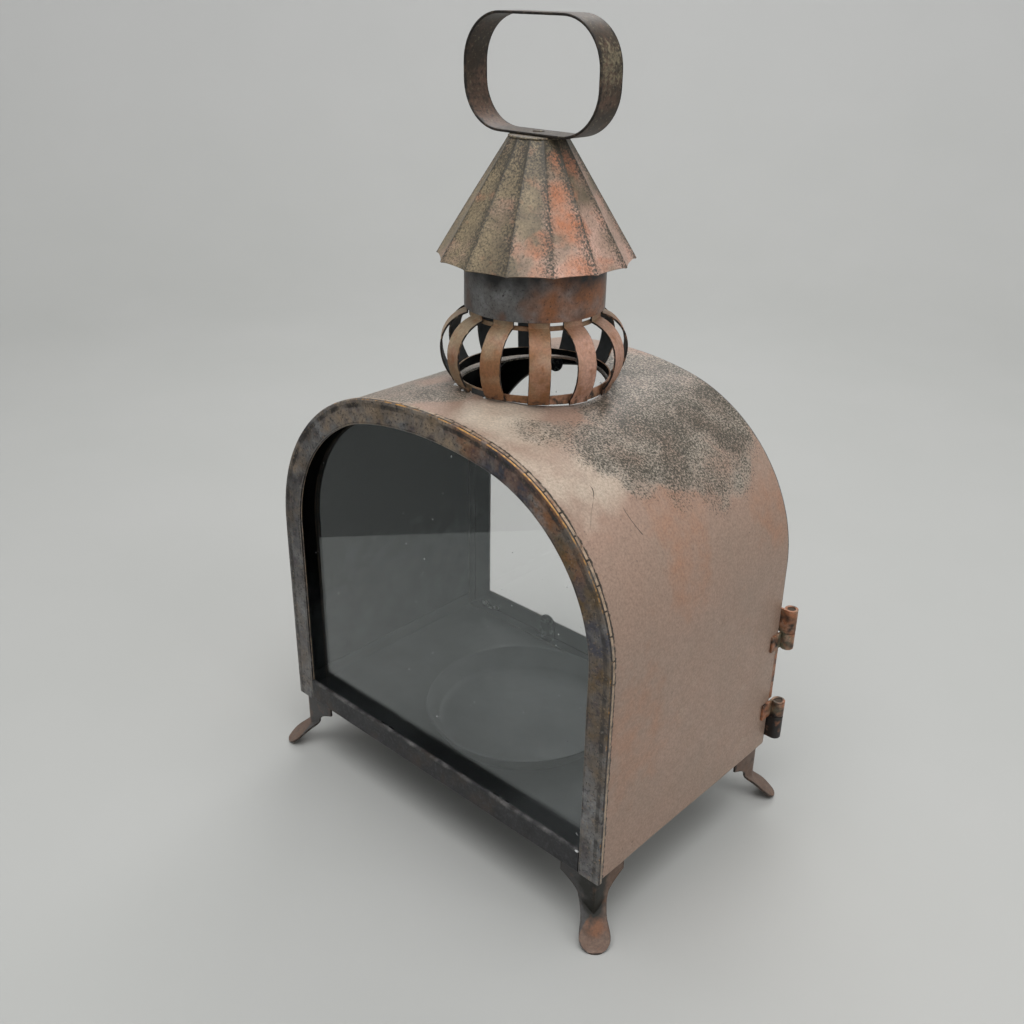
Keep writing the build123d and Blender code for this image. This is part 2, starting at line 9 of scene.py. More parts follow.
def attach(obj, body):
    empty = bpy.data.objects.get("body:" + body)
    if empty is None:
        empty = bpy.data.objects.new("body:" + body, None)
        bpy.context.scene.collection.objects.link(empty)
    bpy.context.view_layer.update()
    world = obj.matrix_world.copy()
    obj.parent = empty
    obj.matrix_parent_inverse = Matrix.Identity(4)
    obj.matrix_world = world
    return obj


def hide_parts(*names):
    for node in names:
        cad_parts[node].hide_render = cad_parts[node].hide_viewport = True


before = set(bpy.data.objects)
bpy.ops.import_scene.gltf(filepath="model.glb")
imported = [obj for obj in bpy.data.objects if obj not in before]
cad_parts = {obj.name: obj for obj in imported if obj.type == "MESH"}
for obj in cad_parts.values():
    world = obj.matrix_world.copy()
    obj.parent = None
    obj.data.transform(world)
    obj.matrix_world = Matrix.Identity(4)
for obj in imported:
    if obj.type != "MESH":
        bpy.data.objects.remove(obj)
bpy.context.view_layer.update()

# Arched wrap: one strip of thin tinplate bent over the crown, open at both ends.
# Its lower edges are turned in as ledges for the floor, and a round hole is cut in the roof.
# It is sprayed with a pinkish copper lacquer, which was sponged dark over the roof.
MM = 0.001
SHEET = 0.8
BODY_FLOOR = 30.0
HALF_WIDTH = 97.5
SPRING_Z = 128.0
SHOULDER_RADIUS = 78.0
CROWN_RADIUS = 174.0
SHOULDER_X = HALF_WIDTH - SHOULDER_RADIUS
CROWN_CENTRE_Z = SPRING_Z - sqrt((CROWN_RADIUS - SHOULDER_RADIUS) ** 2 - SHOULDER_X**2)
CROWN_Z = CROWN_CENTRE_Z + CROWN_RADIUS
SHOULDER_TURN = atan2(SPRING_Z - CROWN_CENTRE_Z, SHOULDER_X)
SIDE_RUN = SPRING_Z - BODY_FLOOR
SHOULDER_RUN = SHOULDER_RADIUS * SHOULDER_TURN
CROWN_RUN = CROWN_RADIUS * (pi - 2 * SHOULDER_TURN)
ARCH_RUN = 2 * SIDE_RUN + 2 * SHOULDER_RUN + CROWN_RUN


def arch_at(run):
    """Points of the wrap's outer skin and their outward directions, run mm round from the left floor edge."""
    skin, outward = [], []
    for along in run:
        back = ARCH_RUN - along
        side = 1 if along > back else -1
        near = min(along, back)
        if near <= SIDE_RUN:
            skin.append((side * HALF_WIDTH, BODY_FLOOR + near))
            outward.append((side, 0.0))
        elif near <= SIDE_RUN + SHOULDER_RUN:
            turn = (near - SIDE_RUN) / SHOULDER_RADIUS
            outward.append((side * cos(turn), sin(turn)))
            skin.append((side * (SHOULDER_X + SHOULDER_RADIUS * cos(turn)), SPRING_Z + SHOULDER_RADIUS * sin(turn)))
        else:
            turn = SHOULDER_TURN + (near - SIDE_RUN - SHOULDER_RUN) / CROWN_RADIUS
            outward.append((side * cos(turn), sin(turn)))
            skin.append((side * CROWN_RADIUS * cos(turn), CROWN_CENTRE_Z + CROWN_RADIUS * sin(turn)))
    return np.array(skin), np.array(outward)


def folded(corners, radius, step):
    """Line through the corners of a bent sheet's profile, each corner rounded, in steps no longer than step."""
    corners = [np.array(corner, float) for corner in corners]
    line = [corners[0]]
    for before, corner, after in zip(corners, corners[1:], corners[2:]):
        enter = corner + radius * (before - corner) / np.linalg.norm(before - corner)
        leave = corner + radius * (after - corner) / np.linalg.norm(after - corner)
        for share in np.linspace(0, 1, 5):
            line.append((1 - share) ** 2 * enter + 2 * share * (1 - share) * corner + share**2 * leave)
    line.append(corners[-1])
    points = [line[0]]
    for end in line[1:]:
        start = points[-1]
        pieces = max(1, int(np.ceil(np.linalg.norm(end - start) / step)))
        points += [start + (end - start) * piece / pieces for piece in range(1, pieces + 1)]
    return np.array(points)


def tin_piece(name, patches, body, finishes, nodes=(), sheet=SHEET, waver=0.0, edge=0.18):
    """Sheet piece made of grids of points in mm, thickened away from its outer side and softened at its edges.
    A patch is its grid, whether its rows close up, which of its faces are cut out, and how much wear and painted
    shade its points carry."""
    points, wear, faces = [], [], []
    for grid, closed, cut, wear_and_shade in patches:
        rows, columns = grid.shape[:2]
        first = len(points)
        points += list(grid.reshape(-1, 3))
        wear += list(np.zeros(rows * columns) if wear_and_shade is None else np.broadcast_to(wear_and_shade, (rows, columns)).ravel())
        for row in range(rows if closed else rows - 1):
            for column in range(columns - 1):
                if cut is None or not cut[row, column]:
                    after = (row + 1) % rows
                    faces.append((
                        first + row * columns + column,
                        first + row * columns + column + 1,
                        first + after * columns + column + 1,
                        first + after * columns + column,
                    ))
    used = sorted({corner for face in faces for corner in face})
    number = {corner: at for at, corner in enumerate(used)}
    mesh = bpy.data.meshes.new(name)
    places = [tuple(points[corner] * MM) for corner in used]
    mesh.from_pydata(places, [], [[number[corner] for corner in face] for face in faces])
    mesh.attributes.new("wear_and_shade", "FLOAT", "POINT").data.foreach_set("value", [wear[corner] for corner in used])
    mesh.validate()
    mesh.update()
    if waver:
        buckle, dint = 28 * MM, 9 * MM
        for vertex in mesh.vertices:
            lift = noise.noise(vertex.co / buckle) + 0.4 * noise.noise(vertex.co / dint)
            vertex.co += vertex.normal * lift * waver * MM
    for finish in finishes:
        mesh.materials.append(finish)
    piece = bpy.data.objects.new(name, mesh)
    bpy.context.scene.collection.objects.link(piece)
    thicken = piece.modifiers.new("thickness", "SOLIDIFY")
    thicken.thickness = sheet * MM
    thicken.offset = -1
    thicken.material_offset = len(finishes) - 1
    soften = piece.modifiers.new("soft_edges", "BEVEL")
    soften.width = edge * MM
    soften.segments = 2
    soften.limit_method = "ANGLE"
    soften.angle_limit = radians(40)
    level = piece.modifiers.new("even_shading", "WEIGHTED_NORMAL")
    level.keep_sharp = True
    mesh.shade_smooth()
    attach(piece, body)
    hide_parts(*nodes)


def linear(code):
    """Linear colour of an sRGB hex value."""
    shares = [int(code[at : at + 2], 16) / 255 for at in (1, 3, 5)]
    return (*[share / 12.92 if share <= 0.04045 else ((share + 0.055) / 1.055) ** 2.4 for share in shares], 1.0)


def add(tree, kind, inputs, **settings):
    """Shader node with its settings, and its inputs set to values or linked to other nodes' outputs."""
    node = tree.nodes.new("ShaderNode" + kind)
    for setting, value in settings.items():
        setattr(node, setting, value)
    for socket, value in inputs.items():
        if isinstance(value, bpy.types.NodeSocket):
            tree.links.new(value, node.inputs[socket])
        else:
            node.inputs[socket].default_value = value
    return node


def finish_of(name, metallic):
    """New finish with its tree, its shader and the place on the piece that its patterns follow."""
    finish = bpy.data.materials.new(name)
    finish.use_nodes = True
    tree = finish.node_tree
    shader = tree.nodes["Principled BSDF"]
    shader.inputs["Metallic"].default_value = metallic
    return finish, tree, shader, add(tree, "TexCoord", {}).outputs["Object"]


def cover_near(tree, place, spots, bare=0.2):
    """Cover of a dabbed layer: bare, and rising towards each spot.
    A spot has its place and its reach in mm, and its cover."""
    cover = bare
    for spot, reach, full in spots:
        far = add(tree, "VectorMath", {0: place, 1: Vector(spot) * MM}, operation="DISTANCE").outputs[1]
        here = add(
            tree, "MapRange",
            {"Value": far, "From Min": reach * MM, "From Max": 0.4 * reach * MM, "To Min": bare, "To Max": full},
            interpolation_type="SMOOTHSTEP",
        )
        cover = add(tree, "Math", {0: cover, 1: here.outputs[0]}, operation="MAXIMUM").outputs[0]
    return cover


def lacquer(tree, shader, place, ground, layers, roughness):
    """Sprayed lacquer: a ground colour, layers sponged or rubbed over it, and the grain of the spray.
    A layer has its colour, its cover (0.5 is half of the surface), the size of its dabs in mm and their softness.
    A noise's scale is a count per metre, so 1000 is divided by the size in mm."""
    colour = linear(ground)
    for code, cover, size, soft in layers:
        dabs = add(tree, "TexNoise", {"Vector": place, "Scale": 1000 / size, "Detail": 2.0, "Roughness": 0.6})
        dabs = add(tree, "Math", {0: dabs.outputs["Fac"], 1: cover}, operation="ADD").outputs[0]
        dabs = add(tree, "MapRange", {"Value": dabs, "From Min": 1 - soft, "From Max": 1 + soft}).outputs[0]
        colour = add(tree, "Mix", {0: dabs, 6: colour, 7: linear(code)}, data_type="RGBA").outputs[2]
    # Spray grain of about 0.4 mm, drawn at 1 mm so that it shows
    spray = add(tree, "TexNoise", {"Vector": place, "Scale": 1000 / 1.0, "Detail": 2.0, "Roughness": 0.7})
    grain = spray.outputs["Fac"]
    shade = add(tree, "MapRange", {"Value": grain, "From Min": 0.3, "From Max": 0.7, "To Min": 0.8, "To Max": 1.2})
    shaded = {0: 1.0, 6: colour, 7: shade.outputs[0]}
    colour = add(tree, "Mix", shaded, data_type="RGBA", blend_type="MULTIPLY").outputs[2]
    cloud = add(tree, "TexNoise", {"Vector": place, "Scale": 1000 / 14.0, "Detail": 4.0}).outputs["Fac"]
    shiny, dull = roughness - 0.06, roughness + 0.06
    gloss = add(tree, "MapRange", {"Value": cloud, "From Min": 0.3, "From Max": 0.7, "To Min": shiny, "To Max": dull})
    bump = add(tree, "Bump", {"Height": grain, "Strength": 0.45, "Distance": 0.05 * MM})
    tree.links.new(colour, shader.inputs["Base Color"])
    tree.links.new(gloss.outputs[0], shader.inputs["Roughness"])
    tree.links.new(bump.outputs["Normal"], shader.inputs["Normal"])


# Copper lacquer, sprayed satin on tinplate: soft pinkish brown, with a painted highlight along the front of the roof,
# with copper showing in a few places, olive-black sponge specks in a grey haze over the roof, fine dark scratches,
# and soot with the painted shade of the frame's flange along the front edge.
copper_lacquer, tree, shader, place = finish_of("copper_lacquer_on_tin", 0.25)
bared = cover_near(tree, place, (
    ((84, -8, 172), 26, 0.5), ((93, -10, 150), 24, 0.46), ((92, 54, 157), 24, 0.5), ((97, -50, 95), 46, 0.42),
), 0.1)
roof_spots = (
    ((38, -38, 204), 16, 0.44), ((47, -29, 201), 18, 0.47), ((54, -21, 198), 22, 0.53), ((62, -8, 193), 24, 0.54),
    ((69, 6, 188), 24, 0.54), ((75, 23, 182), 24, 0.52), ((80, 39, 177), 18, 0.46), ((43, -1, 202), 20, 0.53),
    ((53, 7, 198), 24, 0.56), ((60, 18, 194), 26, 0.57), ((39, 24, 203), 30, 0.56), ((52, 36, 199), 32, 0.57),
    ((64, 50, 192), 28, 0.57), ((20, 42, 207), 36, 0.55), ((40, 55, 203), 34, 0.57), ((71, -16, 187), 16, 0.43),
    ((78, 1, 179), 15, 0.41), ((83, 20, 173), 15, 0.42), ((-16, -40, 207), 24, 0.5), ((-28, -50, 206), 26, 0.49),
    ((-48, 14, 201), 60, 0.49), ((-74, -14, 184), 40, 0.43), ((-44, -46, 202), 30, 0.5), ((-56, -20, 198), 34, 0.5),
)
sponged = cover_near(tree, place, roof_spots)
cloud = add(tree, "TexNoise", {"Vector": place, "Scale": 1000 / 18.0, "Detail": 4.0, "Roughness": 0.6}).outputs["Fac"]
cloud = add(tree, "MapRange", {"Value": cloud, "From Min": 0.3, "From Max": 0.7, "To Min": -0.07, "To Max": 0.07})
sponged = add(tree, "Math", {0: sponged, 1: cloud.outputs[0]}, operation="ADD").outputs[0]
hazed = add(tree, "MapRange", {"Value": sponged, "From Min": 0.3, "From Max": 0.5, "To Max": 0.6}).outputs[0]
# Painted highlight: a paler grey-beige laid over the front of the roof, where the soft box's sheen falls.
painted_highlight = cover_near(tree, place, (
    ((62, -42, 193), 30, 0.5), ((42, -48, 202), 28, 0.56), ((20, -42, 206), 26, 0.6),
), 0.05)
crossing = add(tree, "TexNoise", {"Vector": place, "Scale": 1000 / 26.0, "Detail": 0.0}).outputs["Fac"]
crossing = add(tree, "Math", {0: crossing, 1: 0.5}, operation="SUBTRACT").outputs[0]
crossing = add(tree, "Math", {0: crossing}, operation="ABSOLUTE").outputs[0]
crossing = add(tree, "MapRange", {"Value": crossing, "From Min": 0.004, "From Max": 0.0015}).outputs[0]
scratched = cover_near(tree, place, (
    ((73, -44, 184), 17, 0.6), ((80, -35, 177), 14, 0.6), ((74, -4, 184), 18, 0.6), ((80, 6, 176), 13, 0.6),
), 0.0)
scratched = add(tree, "Math", {0: crossing, 1: scratched}, operation="MULTIPLY").outputs[0]
axes = add(tree, "SeparateXYZ", {"Vector": place})
# Soot with painted shade: darker dabs on the wrap along its front edge, where the frame's flange casts its shadow.
soot_and_flange_shade = add(tree, "MapRange", {
    "Value": axes.outputs["Y"], "From Min": -59.4 * MM, "From Max": -60.5 * MM, "To Min": 0.2, "To Max": 0.66,
}).outputs[0]
lacquer(tree, shader, place, "#a28777", (
    ("#9b8576", 0.45, 30, 0.2),
    ("#a57f69", bared, 9, 0.26),
    ("#c2b3a2", painted_highlight, 18, 0.26),
    ("#a69b8e", hazed, 14, 0.24),
    ("#47433a", sponged, 0.8, 0.12),
    ("#3a342e", soot_and_flange_shade, 2.2, 0.1),
    ("#3a3530", scratched, 4, 0.1),
), 0.42)


def mottle(tree, shader, share, tones, roughness):
    """Bare metal that goes from one tone and roughness to another, by a share of the surface."""
    tint = add(tree, "Mix", {0: share, 6: linear(tones[0]), 7: linear(tones[1])}, data_type="RGBA")
    gloss = add(tree, "MapRange", {"Value": share, "To Min": roughness[0], "To Max": roughness[1]})
    tree.links.new(tint.outputs[2], shader.inputs["Base Color"])
    tree.links.new(gloss.outputs[0], shader.inputs["Roughness"])


# Dark tin: the unpainted inside of the sheet, dulled by primer and soot, grey near the floor and nearly black above,
# with faint cloudy streaks and little shine.
dark_tin, tree, shader, place = finish_of("dull_dark_tin", 0.3)
axes = add(tree, "SeparateXYZ", {"Vector": place})
soot = add(tree, "TexNoise", {"Vector": place, "Scale": 1000 / 18.0, "Detail": 5.0, "Roughness": 0.6}).outputs["Fac"]
rise = add(tree, "MapRange", {
    "Value": axes.outputs["Z"], "From Min": 50 * MM, "From Max": 120 * MM, "To Min": -0.15, "To Max": 0.75,
}).outputs[0]
soot = add(tree, "Math", {0: soot, 1: rise}, operation="ADD", use_clamp=True).outputs[0]
mottle(tree, shader, soot, ("#63686a", "#070808"), (0.5, 0.75))
shader.inputs["Specular IOR Level"].default_value = 0.2

WRAP_LEDGE, LEDGE_FOLD, FOLD_TOP = 9.0, 1.2, 2
WRAP_FRONT, WRAP_REAR = -63.45, 63.15
ROOF_HOLE = 31.5
run = np.concatenate([
    np.linspace(FOLD_TOP, SIDE_RUN, 24)[:-1],
    np.linspace(SIDE_RUN, SIDE_RUN + SHOULDER_RUN, 44)[:-1],
    np.linspace(SIDE_RUN + SHOULDER_RUN, SIDE_RUN + SHOULDER_RUN + CROWN_RUN, 48)[:-1],
    np.linspace(ARCH_RUN - SIDE_RUN - SHOULDER_RUN, ARCH_RUN - SIDE_RUN, 44)[:-1],
    np.linspace(ARCH_RUN - SIDE_RUN, ARCH_RUN - FOLD_TOP, 24),
])
skin, outward = arch_at(run)
ledge = [(-HALF_WIDTH + WRAP_LEDGE, BODY_FLOOR), (-HALF_WIDTH, BODY_FLOOR), (-HALF_WIDTH, BODY_FLOOR + FOLD_TOP)]
turned_in = folded(ledge, LEDGE_FOLD, 4)
skin = np.concatenate([turned_in[:-1], skin, turned_in[-2::-1] * (-1, 1)])
depth = np.linspace(WRAP_REAR, WRAP_FRONT, 64)
grid = np.array([[(x, y, z) for y in depth] for x, z in skin])
reach = np.hypot(grid[:, :, 0], grid[:, :, 1])
inside = (reach < ROOF_HOLE) & (grid[:, :, 2] > SPRING_Z)
cut = inside[:-1, :-1] & inside[1:, :-1] & inside[:-1, 1:] & inside[1:, 1:]
grid[inside, :2] *= (ROOF_HOLE / np.maximum(reach[inside], 1))[:, None]
grid[inside, 2] = CROWN_CENTRE_Z + np.sqrt(CROWN_RADIUS**2 - grid[inside, 0] ** 2)
wrap_patches = [(grid, False, cut, None)]
tin_piece(
    "arched_wrap", wrap_patches, "lantern", [copper_lacquer, dark_tin],
    ["arch_shell"], waver=0.2,
)

# Floor tray and candle pan: a flat tray of bare tin on the wrap's ledges, with a lip up each side,
# and a shallow spun dish with a flared rim soldered to its middle. Both are dulled by soot and dust.

# Dusty tin: the same dark tin under a thin grey film of dust, cloudy and a little lighter than the walls.
dusty_tin, tree, shader, place = finish_of("dusty_dark_tin", 0.3)
dust = add(tree, "TexNoise", {"Vector": place, "Scale": 1000 / 26.0, "Detail": 6.0, "Roughness": 0.65})
mottle(tree, shader, dust.outputs["Fac"], ("#434748", "#74797a"), (0.4, 0.65))


def dress(finish, *nodes):
    """Give a finish to CAD pieces that keep their own shape."""
    for node in nodes:
        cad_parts[node].data.materials.clear()
        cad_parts[node].data.materials.append(finish)


dress(dusty_tin, "floor_tray")


def turned_piece(name, outline, body, finish, nodes, turns=96):
    """Round piece turned from its outline of radius and height in mm."""
    angles = [2 * pi * step / turns for step in range(turns)]
    points = [(r * cos(angle), r * sin(angle), z) for angle in angles for r, z in outline]
    count = len(outline)
    faces = [
        (
            step * count + ring,
            step * count + (ring + 1) % count,
            (step + 1) % turns * count + (ring + 1) % count,
            (step + 1) % turns * count + ring,
        )
        for step in range(turns)
        for ring in range(count)
    ]
    mesh = bpy.data.meshes.new(name)
    mesh.from_pydata([tuple(MM * size for size in point) for point in points], [], faces)
    mesh.validate()
    mesh.update()
    mesh.materials.append(finish)
    mesh.shade_smooth()
    piece = bpy.data.objects.new(name, mesh)
    bpy.context.scene.collection.objects.link(piece)
    level = piece.modifiers.new("even_shading", "WEIGHTED_NORMAL")
    level.keep_sharp = True
    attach(piece, body)
    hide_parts(*nodes)


PAN_BASE = 31.6
AXIS = 0.01
pan_outline = [
    (AXIS, 0.8), (38, 0.8), (41, 1.0), (42.6, 1.9), (47.0, 8.6), (47.6, 9.3), (48.1, 9.5), (48.5, 9.2), (48.4, 8.8),
    (43.9, 1.6), (43.2, 0.5), (42.4, 0), (AXIS, 0),
]
pan_outline = [(r, PAN_BASE + rise) for r, rise in pan_outline]
turned_piece("candle_pan_dish", pan_outline, "lantern", dusty_tin, ["candle_pan"])

# Front frame: a strip of tin with a flat face, its outer flange folded back over the wrap and a narrow hem
# round the window. The flange is snipped about every 10 mm so that it follows the arch, then soldered.
SNIP_PITCH = 9.8
SNIP_GAP = 0.8
SIDE_ROWS = 26
FRAME_FRONT = -64.25
FLANGE_PROUD, FLANGE_DEEP = 0.9, 2.4
FACE_WIDE, HEM_DEEP = 10.1, 1.6

# Slate lacquer, sprayed over the copper and rubbed back by hand: blue-grey with brown clouds and fine dark specks,
# smoked on the left, rust and olive-brown where the right of the arch is rubbed through,
# gold along its outer fold and pale on the flange, with painted shade in a dark line along the fold and a dark band
# beside the fold and hem.
slate_lacquer, tree, shader, place = finish_of("slate_lacquer_rubbed", 0.2)
axes = add(tree, "SeparateXYZ", {"Vector": place})
wear_and_shade = add(tree, "Attribute", {}, attribute_name="wear_and_shade").outputs["Fac"]
smoked = cover_near(tree, place, (((-94, -64, 130), 46, 0.48), ((-82, -64, 172), 20, 0.5)), 0.24)
tanned = cover_near(tree, place, (
    ((-88, -64, 166), 14, 0.46), ((-40, -64, 202), 44, 0.54), ((6, -64, 208), 34, 0.52),
), 0.24)
rusty = cover_near(tree, place, (
    ((50, -64, 201), 18, 0.64), ((66, -64, 190), 15, 0.6), ((27, -64, 207), 18, 0.5), ((80, -64, 173), 12, 0.48),
), 0.2)
olive = cover_near(tree, place, (
    ((81, -64, 166), 28, 0.62), ((95, -64, 118), 32, 0.6), ((97, -64, 92), 22, 0.42),
), 0.26)
bluish = cover_near(tree, place, (((90, -64, 143), 11, 0.62), ((44, -64, 190), 22, 0.56)), 0.34)
gold = cover_near(tree, place, (
    ((46, -64, 201), 46, 0.56), ((76, -64, 176), 34, 0.46), ((0, -64, 208), 50, 0.44),
), 0.3)
fold = add(tree, "MapRange", {"Value": wear_and_shade, "From Min": 0.6}).outputs[0]
gold = add(tree, "Math", {0: gold, 1: fold}, operation="MULTIPLY").outputs[0]
hem = add(tree, "MapRange", {"Value": wear_and_shade, "From Max": 0.5}).outputs[0]
hem = add(tree, "Math", {0: hem, 1: fold}, operation="SUBTRACT").outputs[0]
hem = add(tree, "Math", {0: hem, 1: 0.5}, operation="MULTIPLY").outputs[0]
# Painted shade: a dark band on the face beside the outer fold and beside the hem.
painted_shade_by_folds = add(tree, "Math", {0: wear_and_shade, 1: 0.25}, operation="SUBTRACT").outputs[0]
painted_shade_by_folds = add(tree, "Math", {0: painted_shade_by_folds}, operation="ABSOLUTE").outputs[0]
painted_shade_by_folds = add(tree, "MapRange", {"Value": painted_shade_by_folds, "From Min": 0.22, "From Max": 0.03, "To Max": 0.54}).outputs[0]
flange = add(tree, "Math", {0: axes.outputs["Y"], 1: -62.4 * MM, 2: 0.65 * MM}, operation="COMPARE").outputs[0]
flange = add(tree, "Math", {0: flange, 1: 0.58}, operation="MULTIPLY").outputs[0]
# Painted shadow: a dark line along the outer fold, where the flange turns back.
painted_fold_shadow = add(tree, "Math", {0: axes.outputs["Y"], 1: -63.55 * MM, 2: 0.4 * MM}, operation="COMPARE").outputs[0]
painted_fold_shadow = add(tree, "Math", {0: painted_fold_shadow, 1: 0.62}, operation="MULTIPLY").outputs[0]
lacquer(tree, shader, place, "#757473", (
    ("#868686", 0.45, 24, 0.18),
    ("#59524e", 0.44, 15, 0.18),
    ("#45413f", smoked, 12, 0.18),
    ("#948370", tanned, 7, 0.18),
    ("#624d30", olive, 11, 0.24),
    ("#8d5c33", rusty, 6, 0.18),
    ("#46464f", bluish, 6, 0.16),
    ("#36322f", painted_shade_by_folds, 6, 0.18),
    ("#8d7b66", 0.3, 1.3, 0.1),
    ("#2b2a2b", 0.35, 1.2, 0.1),
    ("#8a837b", hem, 3, 0.12),
    ("#a8927c", flange, 4, 0.14),
    ("#2a2725", painted_fold_shadow, 3, 0.12),
    ("#c08f4f", gold, 3, 0.12),
), 0.44)


def swept(profile, skin, outward):
    """Grid of points: a profile of insets from the wrap's skin and depths, carried round the arch."""
    return np.array([
        [(x - inset * out_x, y, z - inset * out_z) for inset, y in profile]
        for (x, z), (out_x, out_z) in zip(skin, outward)
    ])


tabs = int((ARCH_RUN - 2 * SIDE_RUN) // SNIP_PITCH)
pitch = (ARCH_RUN - 2 * SIDE_RUN) / tabs
run, snips = list(np.linspace(0, SIDE_RUN, SIDE_ROWS)), []
for tab in range(tabs):
    start = SIDE_RUN + tab * pitch
    snips.append(len(run) - 1)
    run += [start + SNIP_GAP, start + pitch / 4, start + pitch / 2, start + 3 * pitch / 4, start + pitch]
snips.append(len(run) - 1)
run += list(ARCH_RUN - SIDE_RUN + np.linspace(SNIP_GAP, SIDE_RUN, SIDE_ROWS))
skin, outward = arch_at(run)
profile = folded([
    (-FLANGE_PROUD, FRAME_FRONT + FLANGE_DEEP), (-FLANGE_PROUD, FRAME_FRONT),
    (FACE_WIDE, FRAME_FRONT), (FACE_WIDE, FRAME_FRONT + HEM_DEEP),
], 0.8, 1.2)
grid = swept(profile, skin, outward)
cut = np.zeros((len(run) - 1, len(profile) - 1), bool)
on_flange = (profile[:-1, 0] < -0.6) & (profile[:-1, 1] > FRAME_FRONT + 0.9)
for snip in snips:
    cut[snip] = on_flange
# The wear and shade mark is 1 on the outer fold, 0.5 on the hem, and 0.25 on a band of the face beside each, which
# takes painted shade
inset, near_face = profile[:, 0], profile[:, 1] < FRAME_FRONT + 0.6
on_fold = 1.0 * (near_face & (inset < -0.3)) + 0.5 * (near_face & (inset > 9.7))
on_fold += 0.25 * (near_face & (((inset > 0.3) & (inset < 2.6)) | ((inset > 8.2) & (inset < 9.5))))
frame_patches = [(grid, False, cut, on_fold)]
tin_piece(
    "front_frame_strip", frame_patches, "lantern", [slate_lacquer, dark_tin],
    ["front_frame"], waver=0.12, edge=0.12,
)

# Front sill: a rail of the same tin butted between the frame's legs, hemmed along its top
# and turned in under the floor. It is darker than the frame, rubbed bare along its top fold.
SILL_HALF = 87.3
SILL_TOP = 41.5
SILL_LEDGE = 14

# Dark slate lacquer: purple-grey and nearly black in places, with a few brown smears and a pale rubbed top edge.
sill_lacquer, tree, shader, place = finish_of("dark_slate_lacquer", 0.2)
wear_and_shade = add(tree, "Attribute", {}, attribute_name="wear_and_shade").outputs["Fac"]
bare_edge = add(tree, "Math", {0: wear_and_shade, 1: 0.41}, operation="MULTIPLY").outputs[0]
lacquer(tree, shader, place, "#2d2d2f", (
    ("#232325", 0.46, 7, 0.16),
    ("#3f352e", 0.35, 10, 0.14),
    ("#3b3a3d", 0.4, 2.0, 0.1),
    ("#6d6b6a", bare_edge, 6, 0.18),
), 0.46)
profile = folded([
    (FRAME_FRONT + SILL_LEDGE, BODY_FLOOR), (FRAME_FRONT, BODY_FLOOR),
    (FRAME_FRONT, SILL_TOP), (FRAME_FRONT + HEM_DEEP, SILL_TOP),
], 0.7, 2.5)
grid = np.array([[(x, y, z) for y, z in profile] for x in np.linspace(SILL_HALF, -SILL_HALF, 60)])
on_fold = (profile[:, 1] > SILL_TOP - 0.75).astype(float)
tin_piece(
    "front_sill_rail", [(grid, False, None, on_fold)], "lantern", [sill_lacquer, dark_tin],
    ["front_sill"], waver=0.14,
)

# Window panes: 2 mm window glass cut to the arch, the front one standing on the floor behind the frame
# and the rear one in the door.

# Float glass with dust on it: clear, with a crisp reflection and a few small grey flecks.
window_glass, tree, shader, place = finish_of("float_glass_dusty", 0.0)
flecks = add(tree, "TexNoise", {"Vector": place, "Scale": 1000 / 2.6, "Detail": 1.0}).outputs["Fac"]
flecks = add(tree, "MapRange", {
    "Value": flecks, "From Min": 0.8, "From Max": 0.84, "To Min": 1.0, "To Max": 0.3,
}).outputs[0]
tree.links.new(flecks, shader.inputs["Transmission Weight"])
shader.inputs["Base Color"].default_value = linear("#feffff")
shader.inputs["Specular Tint"].default_value = linear("#e9f3f3")
shader.inputs["IOR"].default_value = 1.66
shader.inputs["Roughness"].default_value = 0.0
dress(window_glass, "front_pane", "door_pane")

# Pane clips: small channels and tongues of thin tin soldered inside the wrap and the door, over the glass edges.
# They are bare tin with bright smears of solder.
soldered_tin, tree, shader, place = finish_of("bare_tin_with_solder", 0.6)
smear = add(tree, "TexNoise", {"Vector": place, "Scale": 1000 / 4.0, "Detail": 5.0, "Roughness": 0.65})
smear = add(tree, "MapRange", {"Value": smear.outputs["Fac"], "From Min": 0.5, "From Max": 0.66})
mottle(tree, shader, smear.outputs[0], ("#34373a", "#8c8f8f"), (0.55, 0.32))
dress(soldered_tin, "front_pane_clips", "door_pane_clips")

# Rear door: a flat arched face of tin with a flange soldered inside it that slips into the wrap.
# Its face has the frame's slate lacquer, its inside is bare dark tin, and a strip between the hinges is turned out.
DOOR_REAR = 64.25
DOOR_CORNER = 14
DOOR_WINDOW, DOOR_EDGE = 13.4, 0.4
LINING, LINING_DEEP = 1.5, 6.8
side_run = np.append(0, np.linspace(DOOR_CORNER, SIDE_RUN, 20))
top_run = SIDE_RUN + np.linspace(3, ARCH_RUN - 2 * SIDE_RUN - 3, 92)
skin, outward = arch_at(np.concatenate([side_run, top_run, ARCH_RUN - side_run[::-1]]))
outward[0], outward[-1] = (-1, -1), (1, -1)
floor_line = np.linspace(HALF_WIDTH - DOOR_CORNER, DOOR_CORNER - HALF_WIDTH, 38)
skin = np.concatenate([skin, [(x, BODY_FLOOR) for x in floor_line]])
outward = np.concatenate([outward, [(0, -1)] * len(floor_line)])
face = [(DOOR_WINDOW, DOOR_REAR - SHEET), (DOOR_WINDOW, DOOR_REAR), (DOOR_EDGE, DOOR_REAR)]
lining = [(LINING, DOOR_REAR - 0.9), (LINING, DOOR_REAR - LINING_DEEP)]
door_patches = [(swept(folded(profile, 0.3, 2.4), skin, outward), True, None, None) for profile in (face, lining)]
tin_piece(
    "rear_door_face", door_patches, "door", [slate_lacquer, dark_tin],
    ["door_frame"], waver=0.1,
)

